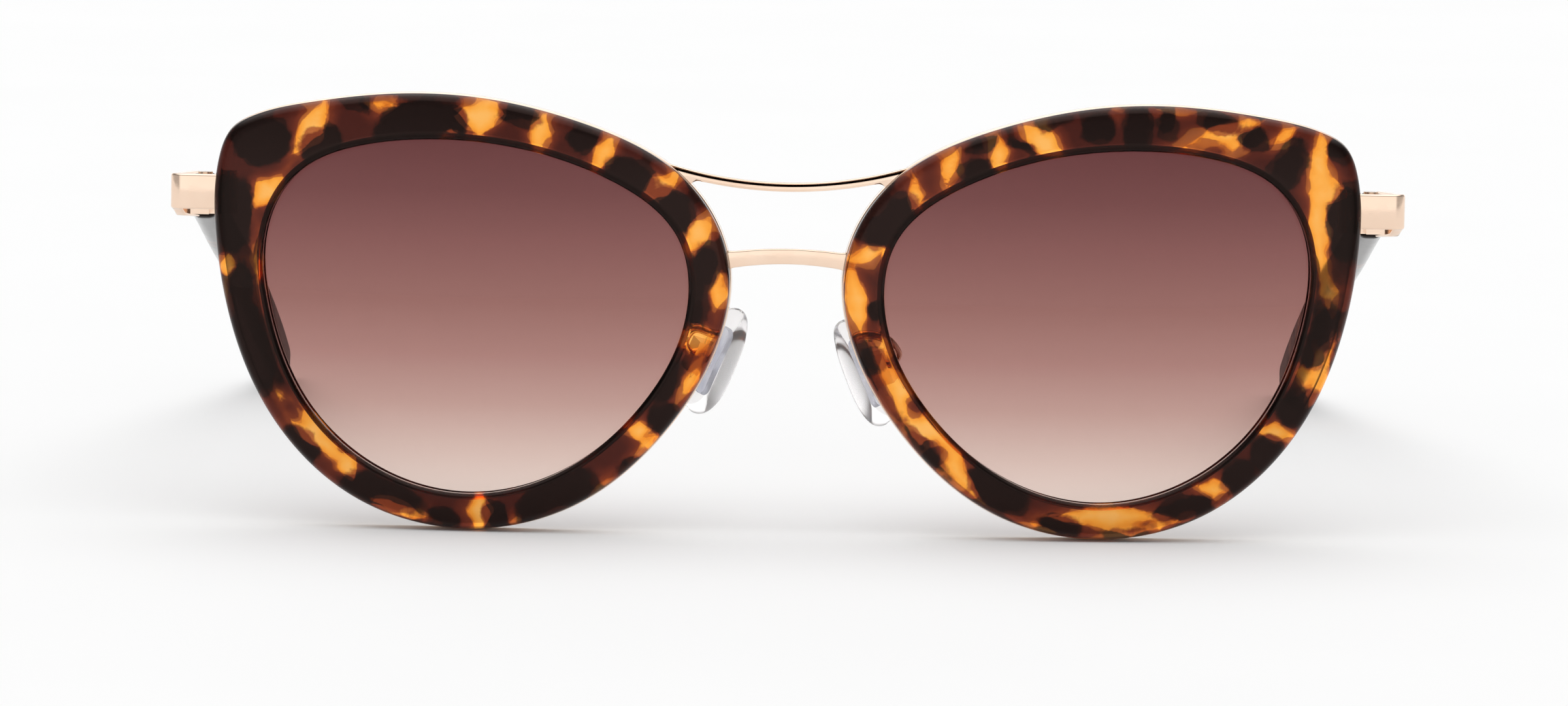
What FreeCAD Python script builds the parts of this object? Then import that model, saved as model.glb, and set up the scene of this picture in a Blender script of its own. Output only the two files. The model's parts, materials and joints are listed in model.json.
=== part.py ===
"""Cat eye sunglasses: acetate rims in metal eyewires, joined by two metal bridges.

Millimetres.  The front is drawn upright in its own flat frame first: X to the wearer's left,
Y backwards towards the ears, Z up, with X = 0 in the middle of the nose and Z = 0 halfway up
the rims.  Left and right are the wearer's.  At the end the whole pair is leaned back until it
stands on the bottoms of its rims and the tips of its temples, and moved so that the origin is
the centre of its bounding box, at the height of the surface that it stands on.
"""
import FreeCAD, Part
import math
import os

from FreeCAD import Vector

os.makedirs("parts", exist_ok=True)

# ---- driving dimensions ---------------------------------------------------------------------

RIM_CENTRE_X = 36.6         # middle of a rim from the middle of the nose
BASE_RADIUS = 134.0         # front of the acetate is part of a sphere
FACE_FORM_DEG = 3.0         # each rim turns back at its outer end by this much
FACE_FORM_X = 6.7           # about an upright axis at its nose side
RIM_THICKNESS = 4.0         # front to back
OUTER_ROUND = 1.0           # rounding of the front outer edge
INNER_ROUND = 0.7           # rounding of the front inner edge

BAND_THICKNESS = 0.5        # metal eyewire, measured across the rim
BAND_PROUD = 0.1            # it stands out past the acetate by this much
BAND_FRONT = 1.8            # its front edge, behind the front of the acetate
BAND_BACK = 4.15            # its rear edge
BAND_SPLIT = 0.2            # gap where the eyewire is cut, between the two lock blocks
SPLIT_Z = 13.3
STEP_OVERRUN = 2.0          # the step for the eyewire is cut this far past the acetate

LENS_FRONT = 1.4            # front of the lens, behind the front of the acetate
LENS_THICKNESS = 1.9
LENS_BITE = 0.7             # how far the lens goes into its groove
FIT_GAP = 0.03              # between pieces that are pushed together and stay put

BRIDGE_FRONT = 5.6          # both bridges, distance back from the front of the lens area
BRIDGE_BACK = 6.9
BROW_FRONT = 5.5
BROW_SHEET = 0.7            # thickness of the bar behind its bead
BROW_BEAD = 0.45            # the bead stands forward by this much
BROW_BEAD_HEIGHT = 0.3
BROW_TOP = 15.72            # top edge of the brow bar at the middle
BROW_TOP_RADIUS = 49.5
BROW_LOW = 14.65            # bottom edge at the middle
BROW_LOW_RADIUS = 50.0
BROW_REACH = 14.2           # the bar is drawn this far out, then trimmed by the eyewires

PLATE_INNER_X = 67.3        # end piece, flat front plate
PLATE_OUTER_X = 72.2
PLATE_FRONT = 8.2
PLATE_THICKNESS = 1.2
PLATE_LOW = 11.3
PLATE_TOP = 15.4
END_BACK = 16.9             # rear face of the end piece, where the temple meets it
END_BACK_OUTER_X = 70.5
END_BACK_LOW = 9.9
END_BACK_TOP = 15.3
END_BEND = 1.6              # outside radius of the corner where the plate turns back
END_DROP_LENGTH = 2.0       # behind the corner the lower edge drops over this length
END_DROP_ABOVE = 0.4        # to this far above its rear end
PLATE_TUCK = 0.6            # the plate is drawn this far under the rim, then trimmed by it

LOCK_BACK = 12.1            # the two small blocks that close the eyewire
LOCK_INNER_X = 66.0
LOCK_OUTER_X = 69.3
LOCK_BELOW_TOP = 0.3        # the upper block stops short of the plate's top edge
LOCK_ABOVE_LOW = 0.2        # and the lower block of its bottom edge
LOCK_SCREW_X = 68.25
LOCK_SCREW_Y = 10.75
LOCK_SCREW_R = 0.5
LOCK_HEAD_R = 0.85
LOCK_HEAD_HEIGHT = 0.45
SLOT_WIDTH = 0.25           # driver slot in the screw heads
SLOT_DEPTH = 0.2

AXIS_X = 65.6               # temple hinge pin
AXIS_Y = 17.1
BARREL_R = 1.15
HINGE_SCREW_R = 0.6
RUNNING_GAP = 0.05          # radial gap of a pin that turns in its hole
HINGE_LOW = 10.3
BARREL_HEIGHT = 1.5
BARREL_GAP = 0.06
BARREL_RELIEF = 0.12        # extra room round the middle barrel
HINGE_HEAD_R = 1.0
HINGE_HEAD_HEIGHT = 0.4
FOOT_INNER_X = 68.0         # foot of the front leaf, inside the end piece
FOOT_FRONT = 13.2
FOOT_INSET = 0.1            # it stops short of the barrels' ends and of the joint face
ARM_OUTER_X = 68.4          # the arms of the front leaf run this far into the foot
LEAF_THICKNESS = 0.7        # temple leaf, let into the inner face of the temple
LEAF_FRONT_GAP = 1.35       # its front edge, behind the hinge axis
LEAF_BACK = 24.5
LEAF_LOW = 10.2
LEAF_TOP = 13.4
LEAF_ARM = 1.75             # the arm to the middle barrel, front to back

TEMPLE_X = 68.8             # middle of the temple at its front end
TEMPLE_THICKNESS = 3.4
TEMPLE_FRONT = 17.15
TEMPLE_ROUND = 1.1          # rounding along its four edges
CORE_THICKNESS = 1.3
CORE_HEIGHT = 2.2
CORE_ROUND = 0.4

RIVET_YS = (20.3, 22.9)
RIVET_Z = 11.8
RIVET_R = 0.5
RIVET_LENGTH = 1.6
RIVET_HEAD_R = 0.85
RIVET_HEAD_HEIGHT = 0.35

PAD_LENGTH = 13.6
PAD_WIDTH = 7.2
PAD_THICKNESS = 2.7
PAD_ROUND = 1.15
INSERT_WIDTH = 3.2          # plastic plate moulded into the pad
INSERT_LENGTH = 8.4
INSERT_THICKNESS = 0.55
INSERT_ROUND = 1.2
TAB_THICK = 1.3             # the insert's mounting tab, across the pad
TAB_LONG = 2.3
TAB_REACH = 1.7             # how far it stands out of the pad
BOX_WALL = 0.4              # metal box that the tab sits in
BOX_GAP = 0.45              # between pad and box, so that the pad can rock
BOX_SIDE_ROOM = 0.08        # beside the tab
BOX_END_ROOM = 0.35         # above and below the tab
BOX_DEPTH_ROOM = 0.3        # behind the tab
PAD_SCREW_R = 0.35
PAD_SCREW_DEPTH = 1.05      # the screw's axis, behind the back of the pad
PAD_HEAD_R = 0.6
PAD_HEAD_HEIGHT = 0.3

PAD_ARM_R = 0.5             # bent wire that carries the box
PAD_ARM_ROOT = (8.35, 7.2, -2.2)    # where it is brazed to the rear edge of the eyewire
PAD_ARM_LEAD = (0.9, 1.7, 0.2)      # first point of the bend, from the root
PAD_ARM_CREST = (-0.5, -1.8, 3.0)   # highest point of the bend, from the back of the box
PAD_ARM_TURN = (0.6, -0.9, 1.7)     # last point of the bend, from the back of the box
PAD_ARM_SINK = 0.1                  # the wire runs this far into the box's back wall

# Outline of an eyewire, from the front: distance from the middle of the nose, and height.
RIM_OUTLINE = [
    (65.5, 0.4), (66.9, 8.5), (66.7, 17.6), (65.4, 20.7), (62.8, 22.4), (56.4, 24.1),
    (46.0, 25.4), (36.6, 25.2), (23.9, 22.4), (11.1, 15.2), (6.6, 6.0), (8.2, -4.3),
    (13.3, -13.0), (23.6, -22.1), (36.6, -25.4), (49.7, -22.2), (59.8, -12.9),
]
# Outline of the opening that the lens is seen through.
APERTURE_OUTLINE = [
    (60.3, 0.4), (61.0, 7.0), (59.1, 13.4), (56.0, 16.7), (49.7, 19.2), (41.9, 20.1),
    (31.5, 19.3), (21.1, 16.0), (12.6, 9.1), (11.5, 0.4), (17.0, -10.9), (25.8, -18.3),
    (36.6, -21.1), (47.4, -18.3), (55.8, -10.7),
]
# Edges of the two bridges before they are trimmed by the eyewires: sideways, and height.
LOWER_BRIDGE_LOW = [(-8.0, 5.35), (0.0, 6.25), (8.0, 5.35)]
LOWER_BRIDGE_TOP = [(-8.0, 7.45), (0.0, 7.97), (8.0, 7.45)]
BROW_WEB = [(10.2, 15.9), (12.6, 15.9), (12.6, 14.9), (11.3, 15.3)]

# The temple's middle line and its size: distance back, height, sideways, how tall, how thick.
TEMPLE_LINE = [
    (TEMPLE_FRONT, 12.5, TEMPLE_X, 5.3, TEMPLE_THICKNESS),
    (28.0, 10.3, 68.8, 5.2, 3.40),
    (45.0, 6.8, 68.9, 5.0, 3.35),
    (62.0, 3.4, 68.9, 4.9, 3.30),
    (78.0, 0.2, 68.8, 5.1, 3.20),
    (92.0, -3.2, 68.6, 5.4, 3.10),
    (106.0, -7.2, 68.3, 5.7, 3.00),
    (120.0, -11.2, 68.1, 5.8, 3.00),
    (134.0, -15.3, 67.95, 5.6, 2.95),
    (140.0, -17.0, 67.9, 5.2, 2.90),
]
TEMPLE_END = (144.3, -18.2, 67.85)
CORE_END_STATION = 7        # the core wire ends at this station of the line
TIP_STEPS = (0.35, 0.62, 0.82, 0.94, 1.0)   # stations of the rounded tip, along its length
TIP_END_SHARE = 0.02        # smallest share left of the section, squared, at the very tip
TIP_THIN_SHARE = 0.35       # share of the thickness that does not shrink towards the tip
TIP_ROUND_SHARE = 0.34      # rounding of a tip section, as a share of its smaller side

# Nose pads: where each pad's middle is, from the middle of the nose.  The arms are soft wire,
# so the two pads do not stand quite alike.
PADS = {
    "left": {"x": 9.2, "z": -6.9, "splay": 19.0},
    "right": {"x": 8.1, "z": -5.8, "splay": 26.0},
}
PAD_MIDDLE_Y = 13.0
PAD_LEAN_DEG = 23.0         # the pads spread downwards
PAD_TILT_DEG = 8.0          # and their lower ends stand further back

OUTLINE_SAMPLES = 40        # points used when an outline is moved inwards or outwards
LONG_EDGE = 60.0            # an edge loop round a rim is longer than this
WIDEST_OPENING = 54.0       # loops narrower than this are at the opening
FAR_FRONT = -6.0            # cutting shapes start and end well outside the pieces
FAR_BACK = 30.0
FAR_LOW = 5.0
FAR_TOP = 20.0
FAR_INNER_X = 60.0
FAR_OUTER_X = 80.0
MESH_STEP = 0.05            # fineness of the points used to find the lowest places
LEAN_ROUNDS = 3             # the lean is found again from the leaned shapes, this many times


# ---- helpers --------------------------------------------------------------------------------

UP = Vector(0, 0, 1)
BACK = Vector(0, 1, 0)
OUTWARD = Vector(1, 0, 0)


def closed_curve(points):
    """A smooth closed curve through points given as (x, z)."""
    curve = Part.BSplineCurve()
    curve.interpolate(Points=[Vector(x, 0, z) for x, z in points], PeriodicFlag=True)
    return curve


def grown(points, distance):
    """The closed curve through the points, moved outwards by distance."""
    curve = closed_curve(points)
    first, last = curve.FirstParameter, curve.LastParameter
    moved = []
    for index in range(OUTLINE_SAMPLES):
        at = first + (last - first) * index / OUTLINE_SAMPLES
        here = curve.value(at)
        along = curve.tangent(at)[0]
        moved.append((here.x + along.z * distance, here.z - along.x * distance))
    return moved


def prism(points, front=FAR_FRONT, back=FAR_BACK):
    """A closed curve seen from the front, carried backwards from front to back."""
    wire = Part.Wire(closed_curve(points).toShape())
    face = Part.Face(wire)
    face.translate(Vector(0, front, 0))
    return face.extrude(Vector(0, back - front, 0))


def slab(points, near, far, direction):
    """A flat polygon carried along an axis.  Its points are in the other two axes."""
    if direction == "x":
        corners = [Vector(near, a, b) for a, b in points]
        step = Vector(far - near, 0, 0)
    elif direction == "y":
        corners = [Vector(a, near, b) for a, b in points]
        step = Vector(0, far - near, 0)
    else:
        corners = [Vector(a, b, near) for a, b in points]
        step = Vector(0, 0, far - near)
    face = Part.Face(Part.makePolygon(corners + corners[:1]))
    return face.extrude(step)


def box(x0, x1, y0, y1, z0, z1):
    return Part.makeBox(x1 - x0, y1 - y0, z1 - z0, Vector(x0, y0, z0))


def upright_cylinder(radius, x, y, z0, z1):
    return Part.makeCylinder(radius, z1 - z0, Vector(x, y, z0), UP)


def bowl(depth):
    """The ball whose surface lies this far behind the front of the acetate."""
    return Part.makeSphere(BASE_RADIUS - depth, Vector(RIM_CENTRE_X, BASE_RADIUS, 0))


def curved_plate(points, front_depth, back_depth):
    """A plate of the given outline between two concentric spheres."""
    return prism(points).common(bowl(front_depth)).cut(bowl(back_depth))


def turned(shape):
    """A rim's piece, turned back by the face form."""
    copy = shape.copy()
    copy.rotate(Vector(FACE_FORM_X, BRIDGE_FRONT, 0), UP, FACE_FORM_DEG)
    return copy


def mirrored(shape):
    return shape.mirror(Vector(0, 0, 0), OUTWARD)


def solid_of(shape):
    """The largest solid of a result, with its splitter edges removed."""
    solids = sorted(shape.Solids, key=lambda one: one.Volume)
    return solids[-1].removeSplitter()


def edges_on_bowl(shape, depth, outer):
    """The edges that lie on one of the spheres, round the outline or round the opening."""
    centre = Vector(RIM_CENTRE_X, BASE_RADIUS, 0)
    radius = BASE_RADIUS - depth
    found = []
    for edge in shape.Edges:
        middle = edge.valueAt((edge.FirstParameter + edge.LastParameter) / 2)
        on_bowl = abs((middle - centre).Length - radius) < 0.02
        wide = edge.BoundBox.XLength > WIDEST_OPENING
        if on_bowl and wide == outer and edge.Length > LONG_EDGE:
            found.append(edge)
    return found


# ---- rims, eyewires and lenses --------------------------------------------------------------

def make_acetate_rim():
    """The tortoiseshell ring.  A step round its back takes the eyewire; a groove, the lens."""
    ring = curved_plate(grown(RIM_OUTLINE, -BAND_PROUD), 0.0, RIM_THICKNESS)
    ring = ring.cut(prism(APERTURE_OUTLINE))
    ring = solid_of(ring)
    ring = ring.makeFillet(OUTER_ROUND, edges_on_bowl(ring, 0.0, True))
    ring = ring.makeFillet(INNER_ROUND, edges_on_bowl(ring, 0.0, False))
    groove = curved_plate(
        grown(APERTURE_OUTLINE, LENS_BITE + FIT_GAP),
        LENS_FRONT - FIT_GAP,
        LENS_FRONT + LENS_THICKNESS + FIT_GAP,
    )
    step_inner = prism(grown(RIM_OUTLINE, -BAND_THICKNESS - FIT_GAP))
    step_outer = grown(RIM_OUTLINE, STEP_OVERRUN)
    step = curved_plate(step_outer, BAND_FRONT - FIT_GAP, RIM_THICKNESS + STEP_OVERRUN)
    ring = ring.cut(groove).cut(step.cut(step_inner))
    return solid_of(ring)


def make_lens():
    return solid_of(
        curved_plate(
            grown(APERTURE_OUTLINE, LENS_BITE), LENS_FRONT, LENS_FRONT + LENS_THICKNESS
        )
    )


def make_eyewire():
    """The metal band, cut through behind the end piece so that it can be opened."""
    band = curved_plate(RIM_OUTLINE, BAND_FRONT, BAND_BACK)
    band = band.cut(prism(grown(RIM_OUTLINE, -BAND_THICKNESS)))
    half = BAND_SPLIT / 2
    saw = box(FAR_INNER_X, FAR_OUTER_X, FAR_FRONT, FAR_BACK, SPLIT_Z - half, SPLIT_Z + half)
    return solid_of(band.cut(saw))


# ---- bridges --------------------------------------------------------------------------------

def sagging_arc(middle_z, radius):
    """Ends and middle of an arc that is lowest at the middle and rises to both sides."""
    end_z = middle_z + radius - math.sqrt(radius ** 2 - BROW_REACH ** 2)
    return [(-BROW_REACH, end_z), (0.0, middle_z), (BROW_REACH, end_z)]


def arc_edge(points, y):
    """The arc through three points given as (x, z)."""
    first, middle, last = [Vector(x, y, z) for x, z in points]
    return Part.Arc(first, middle, last).toShape()


def strip_between(low, top, front, back):
    """A strip between two arcs, each given by three points, carried from front to back."""
    edges = [arc_edge(low, front), arc_edge(top, front)]
    for end in (0, -1):
        low_corner = Vector(low[end][0], front, low[end][1])
        top_corner = Vector(top[end][0], front, top[end][1])
        edges.append(Part.LineSegment(low_corner, top_corner).toShape())
    wire = Part.Wire(Part.sortEdges(edges)[0])
    return Part.Face(wire).extrude(Vector(0, back - front, 0))


def rim_filler():
    """Everything inside both eyewires, for trimming what is brazed to them."""
    filler = turned(prism(RIM_OUTLINE))
    return filler.fuse(mirrored(filler))


def make_lower_bridge(filler):
    """A flat strip, slightly arched, brazed between the eyewires."""
    strip = strip_between(LOWER_BRIDGE_LOW, LOWER_BRIDGE_TOP, BRIDGE_FRONT, BRIDGE_BACK)
    return solid_of(strip.cut(filler))


def make_brow_bar(filler):
    """A stamped bar: a thin sheet with a raised bead along its top and a web at each end."""
    top = sagging_arc(BROW_TOP, BROW_TOP_RADIUS)
    low = sagging_arc(BROW_LOW, BROW_LOW_RADIUS)
    bead_low = [(x, z - BROW_BEAD_HEIGHT) for x, z in top]
    sheet_front = BROW_FRONT + BROW_BEAD
    sheet_back = sheet_front + BROW_SHEET
    sheet = strip_between(low, top, sheet_front, sheet_back)
    webs = []
    for side in (-1, 1):
        corners = [(side * x, z) for x, z in BROW_WEB]
        webs.append(slab(corners, sheet_front, sheet_back, "y"))
    bead = strip_between(bead_low, top, BROW_FRONT, sheet_front)
    bar = sheet.fuse(webs).fuse(bead)
    return solid_of(bar.cut(filler))


# ---- end pieces, locks and hinges, drawn for the left side ----------------------------------

def make_end_piece(filler):
    """A plate beside the rim that turns back at its outer corner and runs to the hinge."""
    bend = END_BEND
    plate_start_x = PLATE_INNER_X - PLATE_TUCK
    outer = [
        Vector(plate_start_x, PLATE_FRONT, 0),
        Vector(PLATE_OUTER_X - bend, PLATE_FRONT, 0),
        Vector(PLATE_OUTER_X, PLATE_FRONT + bend, 0),
        Vector(END_BACK_OUTER_X, END_BACK, 0),
    ]
    corner_mid = Vector(
        PLATE_OUTER_X - bend * (1 - math.sqrt(0.5)), PLATE_FRONT + bend * (1 - math.sqrt(0.5)), 0
    )
    inner_bend = bend - PLATE_THICKNESS
    inner_corner = Vector(PLATE_OUTER_X - bend, PLATE_FRONT + bend, 0)
    inner = [
        Vector(END_BACK_OUTER_X - PLATE_THICKNESS, END_BACK, 0),
        inner_corner + Vector(inner_bend, 0, 0),
        inner_corner + Vector(0, -inner_bend, 0),
        Vector(plate_start_x, PLATE_FRONT + PLATE_THICKNESS, 0),
    ]
    inner_mid = inner_corner + Vector(inner_bend, -inner_bend, 0) * math.sqrt(0.5)
    edges = [
        Part.LineSegment(outer[0], outer[1]).toShape(),
        Part.Arc(outer[1], corner_mid, outer[2]).toShape(),
        Part.LineSegment(outer[2], outer[3]).toShape(),
        Part.LineSegment(outer[3], inner[0]).toShape(),
        Part.LineSegment(inner[0], inner[1]).toShape(),
        Part.Arc(inner[1], inner_mid, inner[2]).toShape(),
        Part.LineSegment(inner[2], inner[3]).toShape(),
        Part.LineSegment(inner[3], outer[0]).toShape(),
    ]
    plan = Part.Face(Part.Wire(edges)).extrude(Vector(0, 0, FAR_TOP))
    corner_y = PLATE_FRONT + bend
    side_view = [
        (FAR_FRONT, PLATE_LOW),
        (corner_y, PLATE_LOW),
        (corner_y + END_DROP_LENGTH, END_BACK_LOW + END_DROP_ABOVE),
        (END_BACK, END_BACK_LOW),
        (END_BACK, END_BACK_TOP),
        (corner_y, PLATE_TOP),
        (FAR_FRONT, PLATE_TOP),
    ]
    piece = plan.common(slab(side_view, FAR_INNER_X, FAR_OUTER_X, "x"))
    return solid_of(piece.cut(filler))


def make_locks(filler):
    """Upper and lower block brazed to the cut ends of the eyewire, bored for the screw."""
    half = BAND_SPLIT / 2
    front = PLATE_FRONT + PLATE_THICKNESS + FIT_GAP
    hole_r = LOCK_SCREW_R + FIT_GAP
    hole = upright_cylinder(hole_r, LOCK_SCREW_X, LOCK_SCREW_Y, FAR_LOW, FAR_TOP)
    upper = (SPLIT_Z + half, PLATE_TOP - LOCK_BELOW_TOP)
    lower = (PLATE_LOW + LOCK_ABOVE_LOW, SPLIT_Z - half)
    blocks = []
    for low, top in (upper, lower):
        block = box(LOCK_INNER_X, LOCK_OUTER_X, front, LOCK_BACK, low, top)
        blocks.append(solid_of(block.cut(filler).cut(hole)))
    return blocks


def driver_slot(x, y, head_r, head_top):
    """The slot across a screw's head."""
    half = SLOT_WIDTH / 2
    return box(x - head_r, x + head_r, y - half, y + half, head_top - SLOT_DEPTH, head_top)


def make_lock_screw():
    x, y = LOCK_SCREW_X, LOCK_SCREW_Y
    neck = PLATE_TOP - LOCK_BELOW_TOP
    top = neck + LOCK_HEAD_HEIGHT
    shank = upright_cylinder(LOCK_SCREW_R, x, y, PLATE_LOW + LOCK_BELOW_TOP, neck)
    head = upright_cylinder(LOCK_HEAD_R, x, y, neck, top)
    return solid_of(shank.fuse(head).cut(driver_slot(x, y, LOCK_HEAD_R, top)))


def barrel_span(index):
    """Bottom and top of one of the three barrels, counted from below."""
    low = HINGE_LOW + index * (BARREL_HEIGHT + BARREL_GAP)
    return low, low + BARREL_HEIGHT


def make_hinge_front(end_piece):
    """Front leaf: lowest and highest barrel, on a foot brazed inside the end piece."""
    foot_back = END_BACK - FOOT_INSET
    foot_low = HINGE_LOW + FOOT_INSET
    foot_top = barrel_span(2)[1] - FOOT_INSET
    foot = box(FOOT_INNER_X, PLATE_OUTER_X, FOOT_FRONT, foot_back, foot_low, foot_top)
    foot = foot.cut(end_piece)
    leaf = sorted(foot.Solids, key=lambda one: one.CenterOfMass.x)[0]
    for index in (0, 2):
        low, top = barrel_span(index)
        arm = box(AXIS_X, ARM_OUTER_X, AXIS_Y - BARREL_R, foot_back, low, top)
        leaf = leaf.fuse(arm).fuse(upright_cylinder(BARREL_R, AXIS_X, AXIS_Y, low, top))
    hole = upright_cylinder(HINGE_SCREW_R + FIT_GAP, AXIS_X, AXIS_Y, FAR_LOW, FAR_TOP)
    relief = upright_cylinder(BARREL_R + BARREL_RELIEF, AXIS_X, AXIS_Y, *barrel_span(1))
    return solid_of(leaf.cut(hole).cut(relief))


def make_hinge_temple():
    """Temple leaf: the middle barrel on a plate riveted inside the temple."""
    low, top = barrel_span(1)
    inner_x = TEMPLE_X - TEMPLE_THICKNESS / 2
    plate_front = AXIS_Y + LEAF_FRONT_GAP
    plate = box(inner_x - LEAF_THICKNESS, inner_x, plate_front, LEAF_BACK, LEAF_LOW, LEAF_TOP)
    arm = box(AXIS_X - BARREL_R, inner_x, AXIS_Y, AXIS_Y + LEAF_ARM, low, top)
    leaf = plate.fuse(arm).fuse(upright_cylinder(BARREL_R, AXIS_X, AXIS_Y, low, top))
    hole = upright_cylinder(HINGE_SCREW_R + RUNNING_GAP, AXIS_X, AXIS_Y, FAR_LOW, FAR_TOP)
    return leaf.cut(hole)


def make_hinge_screw():
    low = barrel_span(0)[0] + FOOT_INSET
    neck = barrel_span(2)[1]
    top = neck + HINGE_HEAD_HEIGHT
    shank = upright_cylinder(HINGE_SCREW_R, AXIS_X, AXIS_Y, low, neck)
    head = upright_cylinder(HINGE_HEAD_R, AXIS_X, AXIS_Y, neck, top)
    return solid_of(shank.fuse(head).cut(driver_slot(AXIS_X, AXIS_Y, HINGE_HEAD_R, top)))


# ---- temples --------------------------------------------------------------------------------

def line_tangent(index):
    """Direction of the temple's middle line at a station, in the plane of its side view."""
    before = TEMPLE_LINE[max(index - 1, 0)]
    after = TEMPLE_LINE[index + 1] if index + 1 < len(TEMPLE_LINE) else TEMPLE_END
    direction = Vector(after[2] - before[2], after[0] - before[0], after[1] - before[1])
    return direction.normalize()


def rounded_section(centre, along, tall, thick, radius):
    """A rounded rectangle across the temple."""
    up = OUTWARD.cross(along).normalize()
    side = along.cross(up).normalize()
    half_t, half_h = thick / 2, tall / 2
    bend = radius * (1 - math.sqrt(0.5))

    def at(a, b):
        return centre + side * a + up * b

    edges = []
    corners = ((1, 1), (-1, 1), (-1, -1), (1, -1))
    for number, (sx, sz) in enumerate(corners):
        lead = at(sx * half_t, sz * (half_h - radius))
        trail = at(sx * (half_t - radius), sz * half_h)
        middle = at(sx * (half_t - bend), sz * (half_h - bend))
        start, end = (lead, trail) if number % 2 == 0 else (trail, lead)
        edges.append((start, middle, end))
    shapes = []
    for number in range(4):
        start, middle, end = edges[number]
        shapes.append(Part.Arc(start, middle, end).toShape())
        following = edges[(number + 1) % 4][0]
        shapes.append(Part.LineSegment(end, following).toShape())
    return Part.Wire(shapes)


def make_temple_core():
    """Flat stiffening wire along the inside of the temple."""
    sections = []
    for index in range(CORE_END_STATION):
        y, z, x = TEMPLE_LINE[index][:3]
        along = line_tangent(index) if index else BACK
        here = Vector(x, y, z)
        sections.append(rounded_section(here, along, CORE_HEIGHT, CORE_THICKNESS, CORE_ROUND))
    return Part.makeLoft(sections, True, False)


def make_temple(core, rivets, hinge_leaf):
    """Acetate temple: straight, then curved down behind the ear to a broad rounded tip."""
    sections = []
    for index, (y, z, x, tall, thick) in enumerate(TEMPLE_LINE):
        along = line_tangent(index) if index else BACK
        sections.append(rounded_section(Vector(x, y, z), along, tall, thick, TEMPLE_ROUND))
    last = TEMPLE_LINE[-1]
    start = Vector(last[2], last[0], last[1])
    end = Vector(TEMPLE_END[2], TEMPLE_END[0], TEMPLE_END[1])
    along = (end - start).normalize()
    reach = (end - start).Length
    for part_way in TIP_STEPS:
        shrink = math.sqrt(max(1 - part_way ** 2, TIP_END_SHARE))
        tall = last[3] * shrink
        thick = last[4] * (TIP_THIN_SHARE + (1 - TIP_THIN_SHARE) * shrink)
        centre = start + along * (reach * part_way)
        radius = min(tall, thick) * TIP_ROUND_SHARE
        sections.append(rounded_section(centre, along, tall, thick, radius))
    body = Part.makeLoft(sections, True, False)
    return solid_of(body.cut(core).cut(rivets).cut(hinge_leaf))


def make_rivets():
    """Two rivets that hold the hinge leaf to the temple."""
    leaf_x = TEMPLE_X - TEMPLE_THICKNESS / 2 - LEAF_THICKNESS
    head_x = leaf_x - RIVET_HEAD_HEIGHT
    rivets = []
    for y in RIVET_YS:
        shank = Part.makeCylinder(RIVET_R, RIVET_LENGTH, Vector(leaf_x, y, RIVET_Z), OUTWARD)
        head = Part.makeCylinder(
            RIVET_HEAD_R, RIVET_HEAD_HEIGHT, Vector(head_x, y, RIVET_Z), OUTWARD
        )
        rivets.append(solid_of(shank.fuse(head)))
    return rivets


# ---- nose pads ------------------------------------------------------------------------------

def pad_frame(side_name):
    """Placement of a pad on the left side: local X across, Z along, Y into the nose."""
    data = PADS[side_name]
    turn = FreeCAD.Rotation(UP, 90.0 - data["splay"])
    lean = FreeCAD.Rotation(BACK, -PAD_LEAN_DEG)
    tilt = FreeCAD.Rotation(OUTWARD, PAD_TILT_DEG)
    rotation = lean.multiply(tilt).multiply(turn)
    return FreeCAD.Placement(Vector(data["x"], PAD_MIDDLE_Y, data["z"]), rotation)


def placed(shape, placement):
    copy = shape.copy()
    copy.transformShape(placement.toMatrix())
    return copy


def cross_bore(radius, axis_y):
    """A cylinder across the pad at its screw's axis, longer than the box is wide."""
    return Part.makeCylinder(radius, PAD_WIDTH, Vector(-PAD_WIDTH / 2, axis_y, 0), OUTWARD)


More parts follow.
